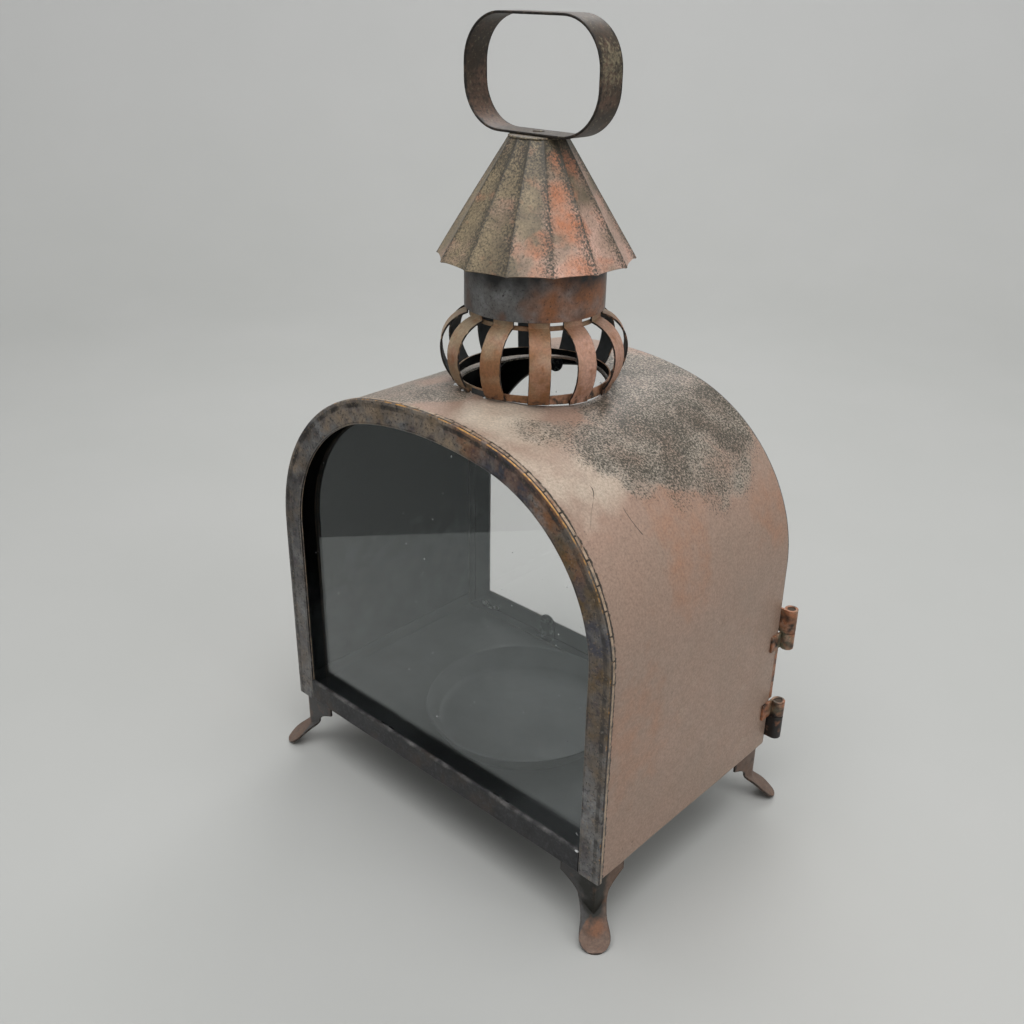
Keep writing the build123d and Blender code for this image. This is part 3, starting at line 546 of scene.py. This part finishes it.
# Hinges: strips of tin curled round a wire pin, one leaf soldered on the wrap's side and one on the door's back.
# They wear the copper lacquer, rubbed brown on the knuckles, and the pins are dark wire.
HINGE_X, HINGE_Y = 100.6, 67.35
KNUCKLE, STRIP = 3.1, 1.2

# Brown copper lacquer, brushed thin on the small fittings: warm brown with dark smudges and lighter rubbed spots,
# smoked nearly black at the foot of the lower hinge.
brown_lacquer, tree, shader, place = finish_of("brown_copper_lacquer", 0.25)
smoked = cover_near(tree, place, (((100, 67, 40), 12, 0.7),), 0.4)
greyed = cover_near(tree, place, (((99, 66, 88), 9, 0.62), ((99, 66, 52), 7, 0.58)), 0.3)
lacquer(tree, shader, place, "#a06a4c", (
    ("#74523c", 0.42, 8, 0.14),
    ("#6f6a58", greyed, 5, 0.14),
    ("#a98873", 0.38, 3, 0.1),
    ("#262220", smoked, 4, 0.12),
), 0.45)

# Oxidised wire: dark brown-grey with a dull shine, finely speckled with rust.
dark_wire, tree, shader, place = finish_of("oxidised_wire", 0.8)
rust = add(tree, "TexNoise", {"Vector": place, "Scale": 1000 / 1.5, "Detail": 4.0})
mottle(tree, shader, rust.outputs["Fac"], ("#2a2724", "#5a4a3d"), (0.4, 0.65))

for node, low, high, on_door in (
    ("upper_hinge_fixed_leaf", 85.0, 93.2, False),
    ("upper_hinge_door_leaf", 93.5, 105.5, True),
    ("lower_hinge_door_leaf", 34.8, 46.8, True),
    ("lower_hinge_fixed_leaf", 47.1, 55.3, False),
):
    if on_door:
        line = [(-16.0, -KNUCKLE), (-10.0, -KNUCKLE), (-5.0, -KNUCKLE)]
        curl = np.radians(np.linspace(-90, 225, 32))
    else:
        line = [(-KNUCKLE, -10.0), (-KNUCKLE, -7.0), (-KNUCKLE, -4.0)]
        curl = np.radians(np.linspace(180, -135, 32))
    line += [(KNUCKLE * cos(turn), KNUCKLE * sin(turn)) for turn in curl]
    heights = np.linspace(high, low, 7) if on_door else np.linspace(low, high, 7)
    grid = np.array([[(HINGE_X + x, HINGE_Y + y, z) for z in heights] for x, y in line])
    body = "door" if on_door else "lantern"
    tin_piece(
        node + "_strip", [(grid, False, None, None)], body, [brown_lacquer],
        [node], sheet=STRIP, edge=0.25,
    )
dress(dark_wire, "upper_hinge_pin", "lower_hinge_pin")
EDGE_X, EDGE_LOW, EDGE_HIGH = 97.1, 55.6, 84.7
depth = np.linspace(DOOR_REAR - 0.3, DOOR_REAR + 2.4, 5)
grid = np.array([[(EDGE_X, y, z) for y in depth] for z in np.linspace(EDGE_LOW, EDGE_HIGH, 16)])
tin_piece("door_turned_edge", [(grid, False, None, None)], "door", [brown_lacquer], waver=0.1)

# Turn latch: a small button that turns on a stud at the door's free edge and drops into a hooked keeper on the wrap.
# All three are cut from thicker tin and carry the brown lacquer.
dress(brown_lacquer, "latch_keeper", "latch_stud", "latch_button")

# Vent cage: twelve flat strips of tin bellied out from a narrow ring on the roof and drawn in under the collar,
# with a second ring inside their necks. The strips are copper outside and bare grey tin inside.
# The roof ring and the feet of the strips are drawn down part of the way that the roof falls to each side.
RING_TOP = CROWN_Z + 2.9
DRAWN_DOWN = 0.5

# Strap lacquer: a thin matt coat of copper over grey tin, olive on the left, warm brown at the front
# and pinker towards the right, scuffed dark along the cut edges and at the feet.
strap_lacquer, tree, shader, place = finish_of("strap_copper_lacquer", 0.15)
axes = add(tree, "SeparateXYZ", {"Vector": place})
wear_and_shade = add(tree, "Attribute", {}, attribute_name="wear_and_shade").outputs["Fac"]
olive = add(tree, "MapRange", {
    "Value": axes.outputs["X"], "From Min": 12 * MM, "From Max": -16 * MM, "To Min": 0.3, "To Max": 0.68,
}).outputs[0]
pinker = add(tree, "MapRange", {
    "Value": axes.outputs["X"], "From Min": 24 * MM, "From Max": 38 * MM, "To Min": 0.26, "To Max": 0.7,
}).outputs[0]
upper = add(tree, "MapRange", {
    "Value": axes.outputs["Z"], "From Min": (CROWN_Z + 14) * MM, "From Max": (CROWN_Z + 30) * MM, "To Max": 0.2,
}).outputs[0]
olive = add(tree, "Math", {0: olive, 1: upper}, operation="ADD").outputs[0]
scuffed = add(tree, "MapRange", {
    "Value": axes.outputs["Z"], "From Min": (CROWN_Z + 5) * MM, "From Max": CROWN_Z * MM,
    "To Min": 0.2, "To Max": 0.48,
}).outputs[0]
edged = add(tree, "MapRange", {"Value": wear_and_shade, "From Min": 0.3, "To Min": 0.0, "To Max": 0.64}).outputs[0]
lacquer(tree, shader, place, "#875f3f", (
    ("#a08c72", olive, 12, 0.2),
    ("#bb917e", pinker, 10, 0.2),
    ("#8f6242", 0.36, 5, 0.16),
    ("#3a312b", scuffed, 2.5, 0.1),
    ("#241e1a", edged, 3, 0.1),
), 0.52)

# Grey tin: the bare back of a plated strip, dull and slightly streaked.
grey_tin, tree, shader, place = finish_of("bare_grey_tin", 0.4)
streak = add(tree, "TexNoise", {"Vector": place, "Scale": 1000 / 3.0, "Detail": 4.0})
mottle(tree, shader, streak.outputs["Fac"], ("#2b2e30", "#56595a"), (0.45, 0.65))


def roof_fall(x):
    """How far the roof has fallen below the crown, x mm to one side."""
    return CROWN_RADIUS - sqrt(CROWN_RADIUS**2 - x**2)


full_turn = np.linspace(0, 2 * pi, 97)[:-1]
for name, node, outer, low, high, follow in (
    ("cage_foot_ring", "cage_lower_ring", 33.2, CROWN_Z + 0.3, RING_TOP, DRAWN_DOWN),
    ("cage_neck_ring", "cage_upper_ring", 27.28, CROWN_Z + 27.9, CROWN_Z + 29.8, 0),
):
    rows = []
    for turn in full_turn:
        foot = low - follow * roof_fall(outer * cos(turn))
        rows.append([(outer * cos(turn), outer * sin(turn), z) for z in np.linspace(high, foot, 4)])
    ring_patches = [(np.array(rows), True, None, None)]
    tin_piece(name, ring_patches, "lantern", [strap_lacquer, dark_tin], [node], waver=0.06)
TAB_R, TAB_REACH, TAB_HALF, TAB_Z = 33.3, 39.5, 4, CROWN_Z - 1.7
for side, end in ((-1, "front"), (1, "rear")):
    line = folded([(side * TAB_R, RING_TOP - 0.6), (side * TAB_R, TAB_Z), (side * TAB_REACH, TAB_Z)], 0.7, 1.5)
    grid = np.array([[(x, y, z) for x in np.linspace(-TAB_HALF * side, TAB_HALF * side, 5)] for y, z in line])
    tab_patches = [(grid, False, None, None)]
    tin_piece(f"cage_ring_tab_{end}", tab_patches, "lantern", [grey_tin], sheet=0.7, edge=0.1)

STRAPS, STRAP_HALF = 12, 4.45
FOOT_R, BELLY_R, NECK_R = 34.1, 39.5, 28.18
BELLY_Z, NECK_Z, STRAP_TOP = CROWN_Z + 14.6, CROWN_Z + 29.4, CROWN_Z + 36.8
line = []
for end_r, end_z, turns in (
    (FOOT_R, CROWN_Z + 0.3, np.linspace(1, 0, 15)[:-1]),
    (NECK_R, NECK_Z, np.linspace(0, 1, 15)),
):
    fall, rise = BELLY_R - end_r, end_z - BELLY_Z
    bend = (fall**2 + rise**2) / (2 * fall)
    sweep = atan2(rise, bend - fall)
    line += [(BELLY_R - bend + bend * cos(sweep * turn), BELLY_Z + bend * sin(sweep * turn)) for turn in turns]
line += [(NECK_R, NECK_Z + 2.5), (NECK_R, NECK_Z + 5), (NECK_R, STRAP_TOP)]
share = np.array([-1, -0.93, -0.8, -0.4, 0, 0.4, 0.8, 0.93, 1])
strap_patches = []
for strap in range(STRAPS):
    aim = radians((strap + 0.5) * 360 / STRAPS + 0.7 * sin(5.1 * strap))
    across = share * (STRAP_HALF + 0.12 * sin(3.7 * strap))
    grid = np.array([
        [(r * cos(aim) - step * sin(aim), r * sin(aim) + step * cos(aim), z) for step in across] for r, z in line
    ])
    grid[0, :, 2] -= DRAWN_DOWN * roof_fall(FOOT_R * cos(aim))
    strap_patches.append((grid, False, None, np.clip((np.abs(share) - 0.8) / 0.2, 0, 1)))
tin_piece(
    "cage_strips", strap_patches, "lantern", [strap_lacquer, grey_tin],
    ["cage_straps"], waver=0.12,
)

# Vent collar: a short tube of tin over the tops of the strips, its upper edge up inside the cap.
# Slate lacquer, darkened under the cap by smoke and by the cap's painted shadow, and rubbed to orange copper low on
# its right.
collar_lacquer, tree, shader, place = finish_of("slate_lacquer_smoked_and_cap_shadow", 0.2)
axes = add(tree, "SeparateXYZ", {"Vector": place})
rubbed = cover_near(tree, place, (((29, -4, 246), 30, 0.66), ((22, -19, 243), 12, 0.44)), 0.2)
# Smoke and painted shadow of the cap: darker towards the collar's top.
smoked = add(tree, "MapRange", {
    "Value": axes.outputs["Z"], "From Min": 248 * MM, "From Max": 260 * MM, "To Min": 0.24, "To Max": 0.74,
}).outputs[0]
lacquer(tree, shader, place, "#858686", (
    ("#574f4a", 0.46, 12, 0.2),
    ("#8d5b3b", rubbed, 12, 0.22),
    ("#2b2a2b", smoked, 9, 0.24),
    ("#2a2829", 0.31, 1.1, 0.12),
), 0.46)
COLLAR_R = 29.4
heights = np.linspace(275.2, CROWN_Z + 31.8, 14)
grid = np.array([[(COLLAR_R * cos(turn), COLLAR_R * sin(turn), z) for z in heights] for turn in full_turn])
tin_piece(
    "vent_collar_tube", [(grid, True, None, None)], "lantern", [collar_lacquer, dark_tin],
    ["vent_collar"], waver=0.1,
)

# Fluted cap: a cone of tin creased over an edge into fourteen sharp ridges with a hollow between each two.
# The hollows grow shallower towards the top, and the rim comes to a slight point below each ridge.
FLUTES = 14
RIM_R, TOP_R, RIM_Z, CAP_TOP = 40.8, 12.0, CROWN_Z + 52.5, CROWN_Z + 98.3
HOLLOW, RIDGE_LIFT, RIM_POINT = 1.5, 0.2, 0.35

# Cap lacquer: olive-beige over brown, salmon copper left bare towards the right with orange rubs, fine dark dust
# in bands beside the ridges that also paint the flutes' shade, thicker to the left and round the top, and a thin dark
# line on each ridge.
cap_lacquer, tree, shader, place = finish_of("cap_copper_lacquer_sponged", 0.2)
axes = add(tree, "SeparateXYZ", {"Vector": place})
wear_and_shade = add(tree, "Attribute", {}, attribute_name="wear_and_shade").outputs["Fac"]
olive = add(tree, "MapRange", {
    "Value": axes.outputs["X"], "From Min": 18 * MM, "From Max": -4 * MM, "To Min": 0.25, "To Max": 0.64,
}).outputs[0]
salmon = add(tree, "MapRange", {
    "Value": axes.outputs["X"], "From Min": 12 * MM, "From Max": 32 * MM, "To Min": 0.26, "To Max": 0.64,
}).outputs[0]
orange_spots = (
    ((16, -3, 298), 10, 0.56), ((22, -10, 287), 11, 0.55), ((28, -12, 277), 12, 0.53), ((36, -15, 263), 11, 0.55),
    ((23, -24, 272), 8, 0.48), ((40, -3, 262), 8, 0.44), ((28, -28, 261), 7, 0.47),
)
orange = cover_near(tree, place, orange_spots)
# Dust with painted shade: the dark specks thicken in a band beside each ridge, to paint the flutes' shading.
dusty = add(tree, "MapRange", {
    "Value": axes.outputs["X"], "From Min": 24 * MM, "From Max": 4 * MM, "To Min": 0.33, "To Max": 0.41,
}).outputs[0]
dusty = add(tree, "MapRange", {"Value": wear_and_shade, "To Min": dusty, "To Max": 0.59}).outputs[0]
topped = add(tree, "MapRange", {
    "Value": axes.outputs["Z"], "From Min": 286 * MM, "From Max": 304 * MM, "To Min": 0.0, "To Max": 0.16,
}).outputs[0]
dusty = add(tree, "Math", {0: dusty, 1: topped}, operation="ADD").outputs[0]
creased = add(tree, "MapRange", {"Value": wear_and_shade, "From Min": 0.93, "To Min": 0.1, "To Max": 0.54}).outputs[0]
lacquer(tree, shader, place, "#6c604f", (
    ("#766853", 0.45, 9, 0.18),
    ("#948469", olive, 12, 0.22),
    ("#c6a393", salmon, 14, 0.24),
    ("#ab6d4c", orange, 7, 0.24),
    ("#464138", dusty, 0.8, 0.14),
    ("#38352f", creased, 5, 0.16),
), 0.5)

steps = np.array([-1, -0.985, -0.95, -0.88, -0.7, -0.46, -0.22, 0, 0.22, 0.46, 0.7, 0.88, 0.95, 0.985])
rows, wear_and_shade = [], []
for flute in range(FLUTES):
    lean = 0.2 * sin(2.3 * flute + 1)
    for step in steps:
        turn = (flute + 1 + step / 2) * 2 * pi / FLUTES
        row = []
        for share in np.linspace(1, 0, 22):
            radius = RIM_R + (TOP_R - RIM_R) * share
            hollow = (HOLLOW + lean) * (1 - step**2) * radius / RIM_R
            ridge_lift = RIDGE_LIFT * max(0, abs(step) - 0.85) / 0.15 * (1 - share)
            droop = RIM_POINT * abs(step) ** 6 * (1 - share) ** 6
            radius += ridge_lift - hollow
            row.append((radius * cos(turn), radius * sin(turn), RIM_Z - droop + (CAP_TOP - RIM_Z) * share))
        rows.append(row)
        # Dust and painted shade of the flutes: a wide band on one side of each ridge and a narrow one on the other.
        wear_and_shade.append(max(0, (step - 0.2) / 0.8, (-step - 0.8) / 0.2))
cap_patches = [(np.array(rows), True, None, np.array(wear_and_shade)[:, None])]
tin_piece(
    "fluted_cap_cone", cap_patches, "lantern", [cap_lacquer, dark_tin],
    ["fluted_cap"], waver=0.14,
)
outline = [(AXIS, SHEET), (11.4, SHEET), (11.8, 0.6), (12.0, 0.3), (11.9, 0), (AXIS, 0)]
outline = [(r, CAP_TOP + rise) for r, rise in outline]
turned_piece("cap_top_plate", outline, "lantern", cap_lacquer, ["cap_plate"])

# Carry handle: a strap of heavier tin bent to a closed loop with round corners, held to the plate by one flat rivet.
# It is lacquered olive-brown, and worn dark along the cut edges.
LOOP_BASE, LOOP_LONG, LOOP_HIGH, LOOP_CORNER, LOOP_HALF = CAP_TOP + SHEET, 70.0, 43.5, 19.0, 6.35
LOOP_SHEET = 1.0
RIVET_HEAD, RIVET_SHANK = 2.4, 1.4

# Bronze lacquer, brushed on the strap: dark olive-brown, pinkish low on the left, dusty at the right corner
# and darkest along the cut edges.
handle_lacquer, tree, shader, place = finish_of("bronze_lacquer_on_strap", 0.25)
wear_and_shade = add(tree, "Attribute", {}, attribute_name="wear_and_shade").outputs["Fac"]
pinkish = cover_near(tree, place, (((-30, 0, 316), 20, 0.58), ((34, -2, 326), 12, 0.52)), 0.3)
dusty = cover_near(tree, place, (((34, 0, 334), 12, 0.5), ((0, 0, 308), 24, 0.36)), 0.3)
edged = add(tree, "MapRange", {"Value": wear_and_shade, "From Min": 0.2, "To Min": 0.1, "To Max": 0.6}).outputs[0]
lacquer(tree, shader, place, "#3e3429", (
    ("#3a2d21", 0.46, 10, 0.16),
    ("#634c3e", pinkish, 7, 0.18),
    ("#7a705a", dusty, 1.4, 0.12),
    ("#2a2420", 0.38, 1.5, 0.12),
    ("#211c18", edged, 3, 0.14),
), 0.52)
line = []
for centre_x, centre_z, start in ((1, -1, -90), (1, 1, 0), (-1, 1, 90), (-1, -1, 180)):
    for turn in np.radians(np.linspace(start, start + 90, 16)):
        line.append((
            centre_x * (LOOP_LONG / 2 - LOOP_CORNER) + LOOP_CORNER * cos(turn),
            LOOP_BASE + LOOP_HIGH / 2 + centre_z * (LOOP_HIGH / 2 - LOOP_CORNER) + LOOP_CORNER * sin(turn),
        ))
    if centre_z * centre_x < 0:
        line += [(line[-1][0], line[-1][1] + centre_x * step) for step in (1.4, 2.8, 4.2)]
    else:
        line += [(line[-1][0] - centre_z * step, line[-1][1]) for step in (5.0, 10.5, 16.0, 21.5, 27.0)]
share = np.array([-1, -0.94, -0.8, -0.4, 0, 0.4, 0.8, 0.94, 1])
grid = np.array([[(x, y, z) for y in share * LOOP_HALF] for x, z in line])
loop_patches = [(grid, True, None, np.clip((np.abs(share) - 0.64) / 0.3, 0, 1))]
tin_piece(
    "carry_loop_strap", loop_patches, "lantern", [handle_lacquer],
    ["carry_handle"], sheet=LOOP_SHEET, waver=0.15, edge=0.3,
)
head = LOOP_BASE + LOOP_SHEET
outline = [
    (AXIS, head + 0.5), (1.6, head + 0.48), (2.2, head + 0.34), (RIVET_HEAD, head + 0.1), (RIVET_HEAD, head),
    (RIVET_SHANK, head), (RIVET_SHANK, CAP_TOP), (RIVET_HEAD, CAP_TOP), (2.3, CAP_TOP - 0.35),
    (1.8, CAP_TOP - 0.5), (AXIS, CAP_TOP - 0.5),
]
turned_piece("handle_rivet_flat", outline, "lantern", handle_lacquer, ["handle_rivet"], 32)

# Corner feet: tin creased round each lower corner, its two wings cut hollow down to a waist
# and its end turned out to a round tongue that slopes to the floor. They are soldered up under the body.
# They wear the copper lacquer, slate on the front wings, with a dark flux stain on the front right crease.
foot_lacquer, tree, shader, place = finish_of("foot_copper_lacquer", 0.2)
axes = add(tree, "SeparateXYZ", {"Vector": place})
wear_and_shade = add(tree, "Attribute", {}, attribute_name="wear_and_shade").outputs["Fac"]
edged = add(tree, "MapRange", {"Value": wear_and_shade, "From Min": 0.3, "To Min": 0.1, "To Max": 0.56}).outputs[0]
inward = add(tree, "Math", {0: axes.outputs["X"]}, operation="ABSOLUTE").outputs[0]
inward = add(tree, "MapRange", {"Value": inward, "From Min": 95.3 * MM, "From Max": 93.6 * MM}).outputs[0]
frontal = add(tree, "MapRange", {
    "Value": axes.outputs["Y"], "From Min": -60.0 * MM, "From Max": -60.6 * MM, "To Max": 0.7,
}).outputs[0]
slate_wing = add(tree, "Math", {0: inward, 1: frontal}, operation="MULTIPLY").outputs[0]
stained = cover_near(tree, place, (((94.2, -62, 24), 11, 0.74), ((95.4, -62.2, 15), 9, 0.74)), 0.28)
orange = cover_near(tree, place, (((97.6, -64.4, 8.5), 7, 0.62),), 0.2)
lacquer(tree, shader, place, "#6d584b", (
    ("#5f483b", 0.46, 8, 0.18),
    ("#704a32", orange, 4, 0.24),
    ("#454343", slate_wing, 6, 0.14),
    ("#23221d", stained, 5, 0.18),
    ("#332a25", edged, 3, 0.12),
), 0.5)
CREASE_X, CREASE_Y, CREASE_END, CREASE_BEND = 95.2, -61.65, 10.3, 0.9
WING, WING_LOW, WAIST, WAIST_Z = 19.0, 23.4, 8.8, 15.52
SLOPE, TONGUE_LONG, TONGUE_R, TONGUE_NECK = radians(40), 8.985, 6.65, 5.45
NECK_FLARE, NECK_RUN = 0.77, 8.12
SOLE, SOLE_BEND, FOOT_SHEET = 0.85, 0.35, 1.0
edge_line = [(WING, z) for z in (BODY_FLOOR, 27.8, 25.6, WING_LOW)]
for t in np.linspace(0.12, 1, 10):
    wide = (1 - t) ** 2
    low = WING_LOW * wide + (WING_LOW + WAIST_Z) * t * (1 - t) + WAIST_Z * t**2
    edge_line.append((WING * wide + WAIST * (1 - wide), low))
tongue = [(1.4, -6.4), (2.8, -4.6), (4.2, -2.6), (5.6, -0.4), (6.8, 2.0), (7.8, 4.6), (8.6, 7.2)]
for turn in np.radians((0, 12, 24, 36, 47, 57, 66, 74, 81, 87)):
    tongue.append((TONGUE_LONG + TONGUE_R * sin(turn),) * 2)
share = np.concatenate([np.linspace(-1, -0.92, 2), np.linspace(-0.8, 0.8, 17), np.linspace(0.92, 1, 2)])
for side_x, side_y, name in (
    (1, -1, "front_right"),
    (-1, -1, "front_left"),
    (1, 1, "rear_right"),
    (-1, 1, "rear_left"),
):
    rows = []
    for at, (wing, low) in enumerate(edge_line):
        crease_z = BODY_FLOOR - (BODY_FLOOR - CREASE_END) * at / (len(edge_line) - 1)
        row = []
        for part in share:
            along = wing * part
            bent = hypot(along, CREASE_BEND) - CREASE_BEND
            row.append((
                CREASE_X + (along - bent) / 2,
                CREASE_Y + (along + bent) / 2,
                crease_z + (low - crease_z) * abs(part),
            ))
        rows.append(row)
    for middle, brim in tongue:
        if brim < 0:
            half = TONGUE_NECK + NECK_FLARE * (brim / NECK_RUN) ** 2
        elif brim < TONGUE_LONG:
            grown = brim / TONGUE_LONG
            half = TONGUE_NECK + (TONGUE_R - TONGUE_NECK) * (3 - 2 * grown) * grown**2
        else:
            half = sqrt(TONGUE_R**2 - (brim - TONGUE_LONG) ** 2)
        row = []
        for part in share:
            down = middle + (brim - middle) * abs(part) ** 1.4
            out = down * cos(SLOPE)
            z = CREASE_END - down * sin(SLOPE)
            z = 0.5 * (z + SOLE + hypot(z - SOLE, SOLE_BEND))
            row.append((CREASE_X + (half * part + out) / sqrt(2), CREASE_Y + (half * part - out) / sqrt(2), z))
        rows.append(row)
    grid = np.array(rows) * (side_x, -side_y, 1)
    wear_and_shade = np.clip((np.abs(share) - 0.8) / 0.2, 0, 1) * np.ones((len(rows), 1))
    wear_and_shade[-3:] = 1
    if side_x * side_y < 0:
        grid, wear_and_shade = grid[:, ::-1], wear_and_shade[:, ::-1]
    tin_piece(
        f"{name}_tongue_foot", [(grid, False, None, wear_and_shade)], "lantern", [foot_lacquer],
        [f"{name}_foot"], sheet=FOOT_SHEET, edge=0.25,
    )

# Solder beads: lumps of solder left where the cage ring, the sill and the door's corner were joined.
# Near-white grey metal with little shine, so that its colour paints the solder's glints, dulled in places where the
# flux burnt.
solder_with_painted_glint, tree, shader, place = finish_of("solder_with_painted_glint", 0.2)
flux = add(tree, "TexNoise", {"Vector": place, "Scale": 1000 / 1.5, "Detail": 3.0}).outputs["Fac"]
flux = add(tree, "MapRange", {"Value": flux, "From Min": 0.42, "From Max": 0.6}).outputs[0]
mottle(tree, shader, flux, ("#cfd1d0", "#6a6b66"), (0.25, 0.6))
for body, name, beads in (
    ("lantern", "body_solder_beads", (
        ((-16.8, -29.4, 206.9), 1.4), ((-9.0, -33.2, 207.6), 1.0), ((4.5, -33.6, 207.8), 0.9),
        ((86.6, -64.3, 41.1), 0.7),
    )),
    ("door", "door_solder_beads", (
        ((-85.0, 60.2, 35.6), 1.9), ((-81.2, 60.4, 34.4), 1.2), ((-76.4, 60.2, 36.0), 1.6),
    )),
):
    lumps = bmesh.new()
    for spot, size in beads:
        for vertex in bmesh.ops.create_icosphere(lumps, subdivisions=3, radius=1.0)["verts"]:
            swell = 1 + 0.4 * noise.noise(vertex.co * 1.4 + Vector(spot))
            vertex.co = (Vector(spot) + vertex.co * Vector((1.25, 0.8, 0.7)) * swell * size) * MM
    mesh = bpy.data.meshes.new(name)
    lumps.to_mesh(mesh)
    lumps.free()
    mesh.materials.append(solder_with_painted_glint)
    mesh.shade_smooth()
    piece = bpy.data.objects.new(name, mesh)
    bpy.context.scene.collection.objects.link(piece)
    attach(piece, body)

# Studio: a round pale sweep under and around the lantern, three soft boxes, a dark card that only the glass mirrors,
# and the photograph's viewpoint.

# Pale grey paper: matt, faintly uneven and a little lighter up the wall.
pale_paper, tree, shader, place = finish_of("pale_grey_paper", 0.0)
clouds = add(tree, "TexNoise", {"Vector": place, "Scale": 6.0, "Detail": 3.0})
axes = add(tree, "SeparateXYZ", {"Vector": place})
rise = add(tree, "MapRange", {"Value": axes.outputs["Z"], "From Max": 0.7}).outputs[0]
tint = add(tree, "Mix", {0: clouds.outputs["Fac"], 6: linear("#aeafac"), 7: linear("#b5b5b3")}, data_type="RGBA")
tint = add(tree, "Mix", {0: rise, 6: tint.outputs[2], 7: linear("#c8c8c8")}, data_type="RGBA")
tree.links.new(tint.outputs[2], shader.inputs["Base Color"])
shader.inputs["Roughness"].default_value = 0.75
shader.inputs["Specular IOR Level"].default_value = 0.0
SWEEP_FLAT, SWEEP_BEND, SWEEP_SIDES = 0.9, 0.5, 72
sweep = [(0.0, 0.0), (0.3, 0.0), (0.6, 0.0), (SWEEP_FLAT, 0.0)]
for turn in np.radians(np.linspace(10, 90, 9)):
    sweep.append((SWEEP_FLAT + SWEEP_BEND * sin(turn), SWEEP_BEND - SWEEP_BEND * cos(turn)))
sweep += [(SWEEP_FLAT + SWEEP_BEND, 0.8), (SWEEP_FLAT + SWEEP_BEND, 1.1)]
turns = np.linspace(0, 2 * pi, SWEEP_SIDES + 1)[:-1]
points = [(r * cos(turn), r * sin(turn), z) for turn in turns for r, z in sweep]
count = len(sweep)
faces = []
for step in range(SWEEP_SIDES):
    here, after = step * count, (step + 1) % SWEEP_SIDES * count
    faces += [(here + at, after + at, after + at + 1, here + at + 1) for at in range(count - 1)]
mesh = bpy.data.meshes.new("paper_sweep")
mesh.from_pydata(points, [], faces)
mesh.validate()
mesh.materials.append(pale_paper)
mesh.shade_smooth()
paper = bpy.data.objects.new("paper_sweep", mesh)
bpy.context.scene.collection.objects.link(paper)

# Black card: dead matt, so the glass mirrors nothing but its darkness.
dark_card, tree, shader, place = finish_of("dark_card", 0.0)
shader.inputs["Base Color"].default_value = linear("#17191b")
shader.inputs["Roughness"].default_value = 0.9
shader.inputs["Specular IOR Level"].default_value = 0.0
near_left, near_right = Vector((-0.764, 0.357, 0.002)), Vector((0.295, -0.844, 0.002))
away = 0.9 * Vector((-0.75, -0.66, 0.0))
mesh = bpy.data.meshes.new("mirror_card")
mesh.from_pydata([near_left, near_right, near_right + away, near_left + away], [], [(0, 1, 2, 3)])
mesh.materials.append(dark_card)
card = bpy.data.objects.new("mirror_card", mesh)
for ray in ("camera", "diffuse", "shadow", "transmission", "volume_scatter"):
    setattr(card, f"visible_{ray}", False)
bpy.context.scene.collection.objects.link(card)

world = bpy.context.scene.world or bpy.data.worlds.new("studio")
bpy.context.scene.world = world
world.use_nodes = True
world.node_tree.nodes["Background"].inputs["Color"].default_value = linear("#d8dadb")
world.node_tree.nodes["Background"].inputs["Strength"].default_value = 0.45
for name, spot, aim, size, power in (
    ("soft_box_overhead", (0.12, -0.22, 1.33), (0, 0, 0.15), 1.1, 14.5),
    ("soft_box_right", (1.1, 0.1, 0.9), (0, 0, 0.15), 0.7, 3.2),
    ("soft_box_rear", (-0.5, 0.8, 1.1), (-0.3, 0.35, 0), 0.7, 5.2),
):
    lamp = bpy.data.lights.new(name, "AREA")
    lamp.size = size
    lamp.energy = power
    light = bpy.data.objects.new(name, lamp)
    light.location = spot
    light.rotation_mode = "QUATERNION"
    light.rotation_quaternion = (Vector(aim) - Vector(spot)).to_track_quat("-Z", "Y")
    bpy.context.scene.collection.objects.link(light)

lens = bpy.data.cameras.new("viewpoint")
lens.sensor_width = 36.0
lens.lens = 38.63
viewpoint = bpy.data.objects.new("viewpoint", lens)
viewpoint.matrix_world = Matrix((
    (0.7323, -0.3058, 0.6085, 0.29803),
    (0.6809, 0.3113, -0.6630, -0.33675),
    (0.0133, 0.8998, 0.4361, 0.36117),
    (0, 0, 0, 1),
))
bpy.context.scene.collection.objects.link(viewpoint)
bpy.context.scene.camera = viewpoint
bpy.context.scene.view_settings.view_transform = "Standard"
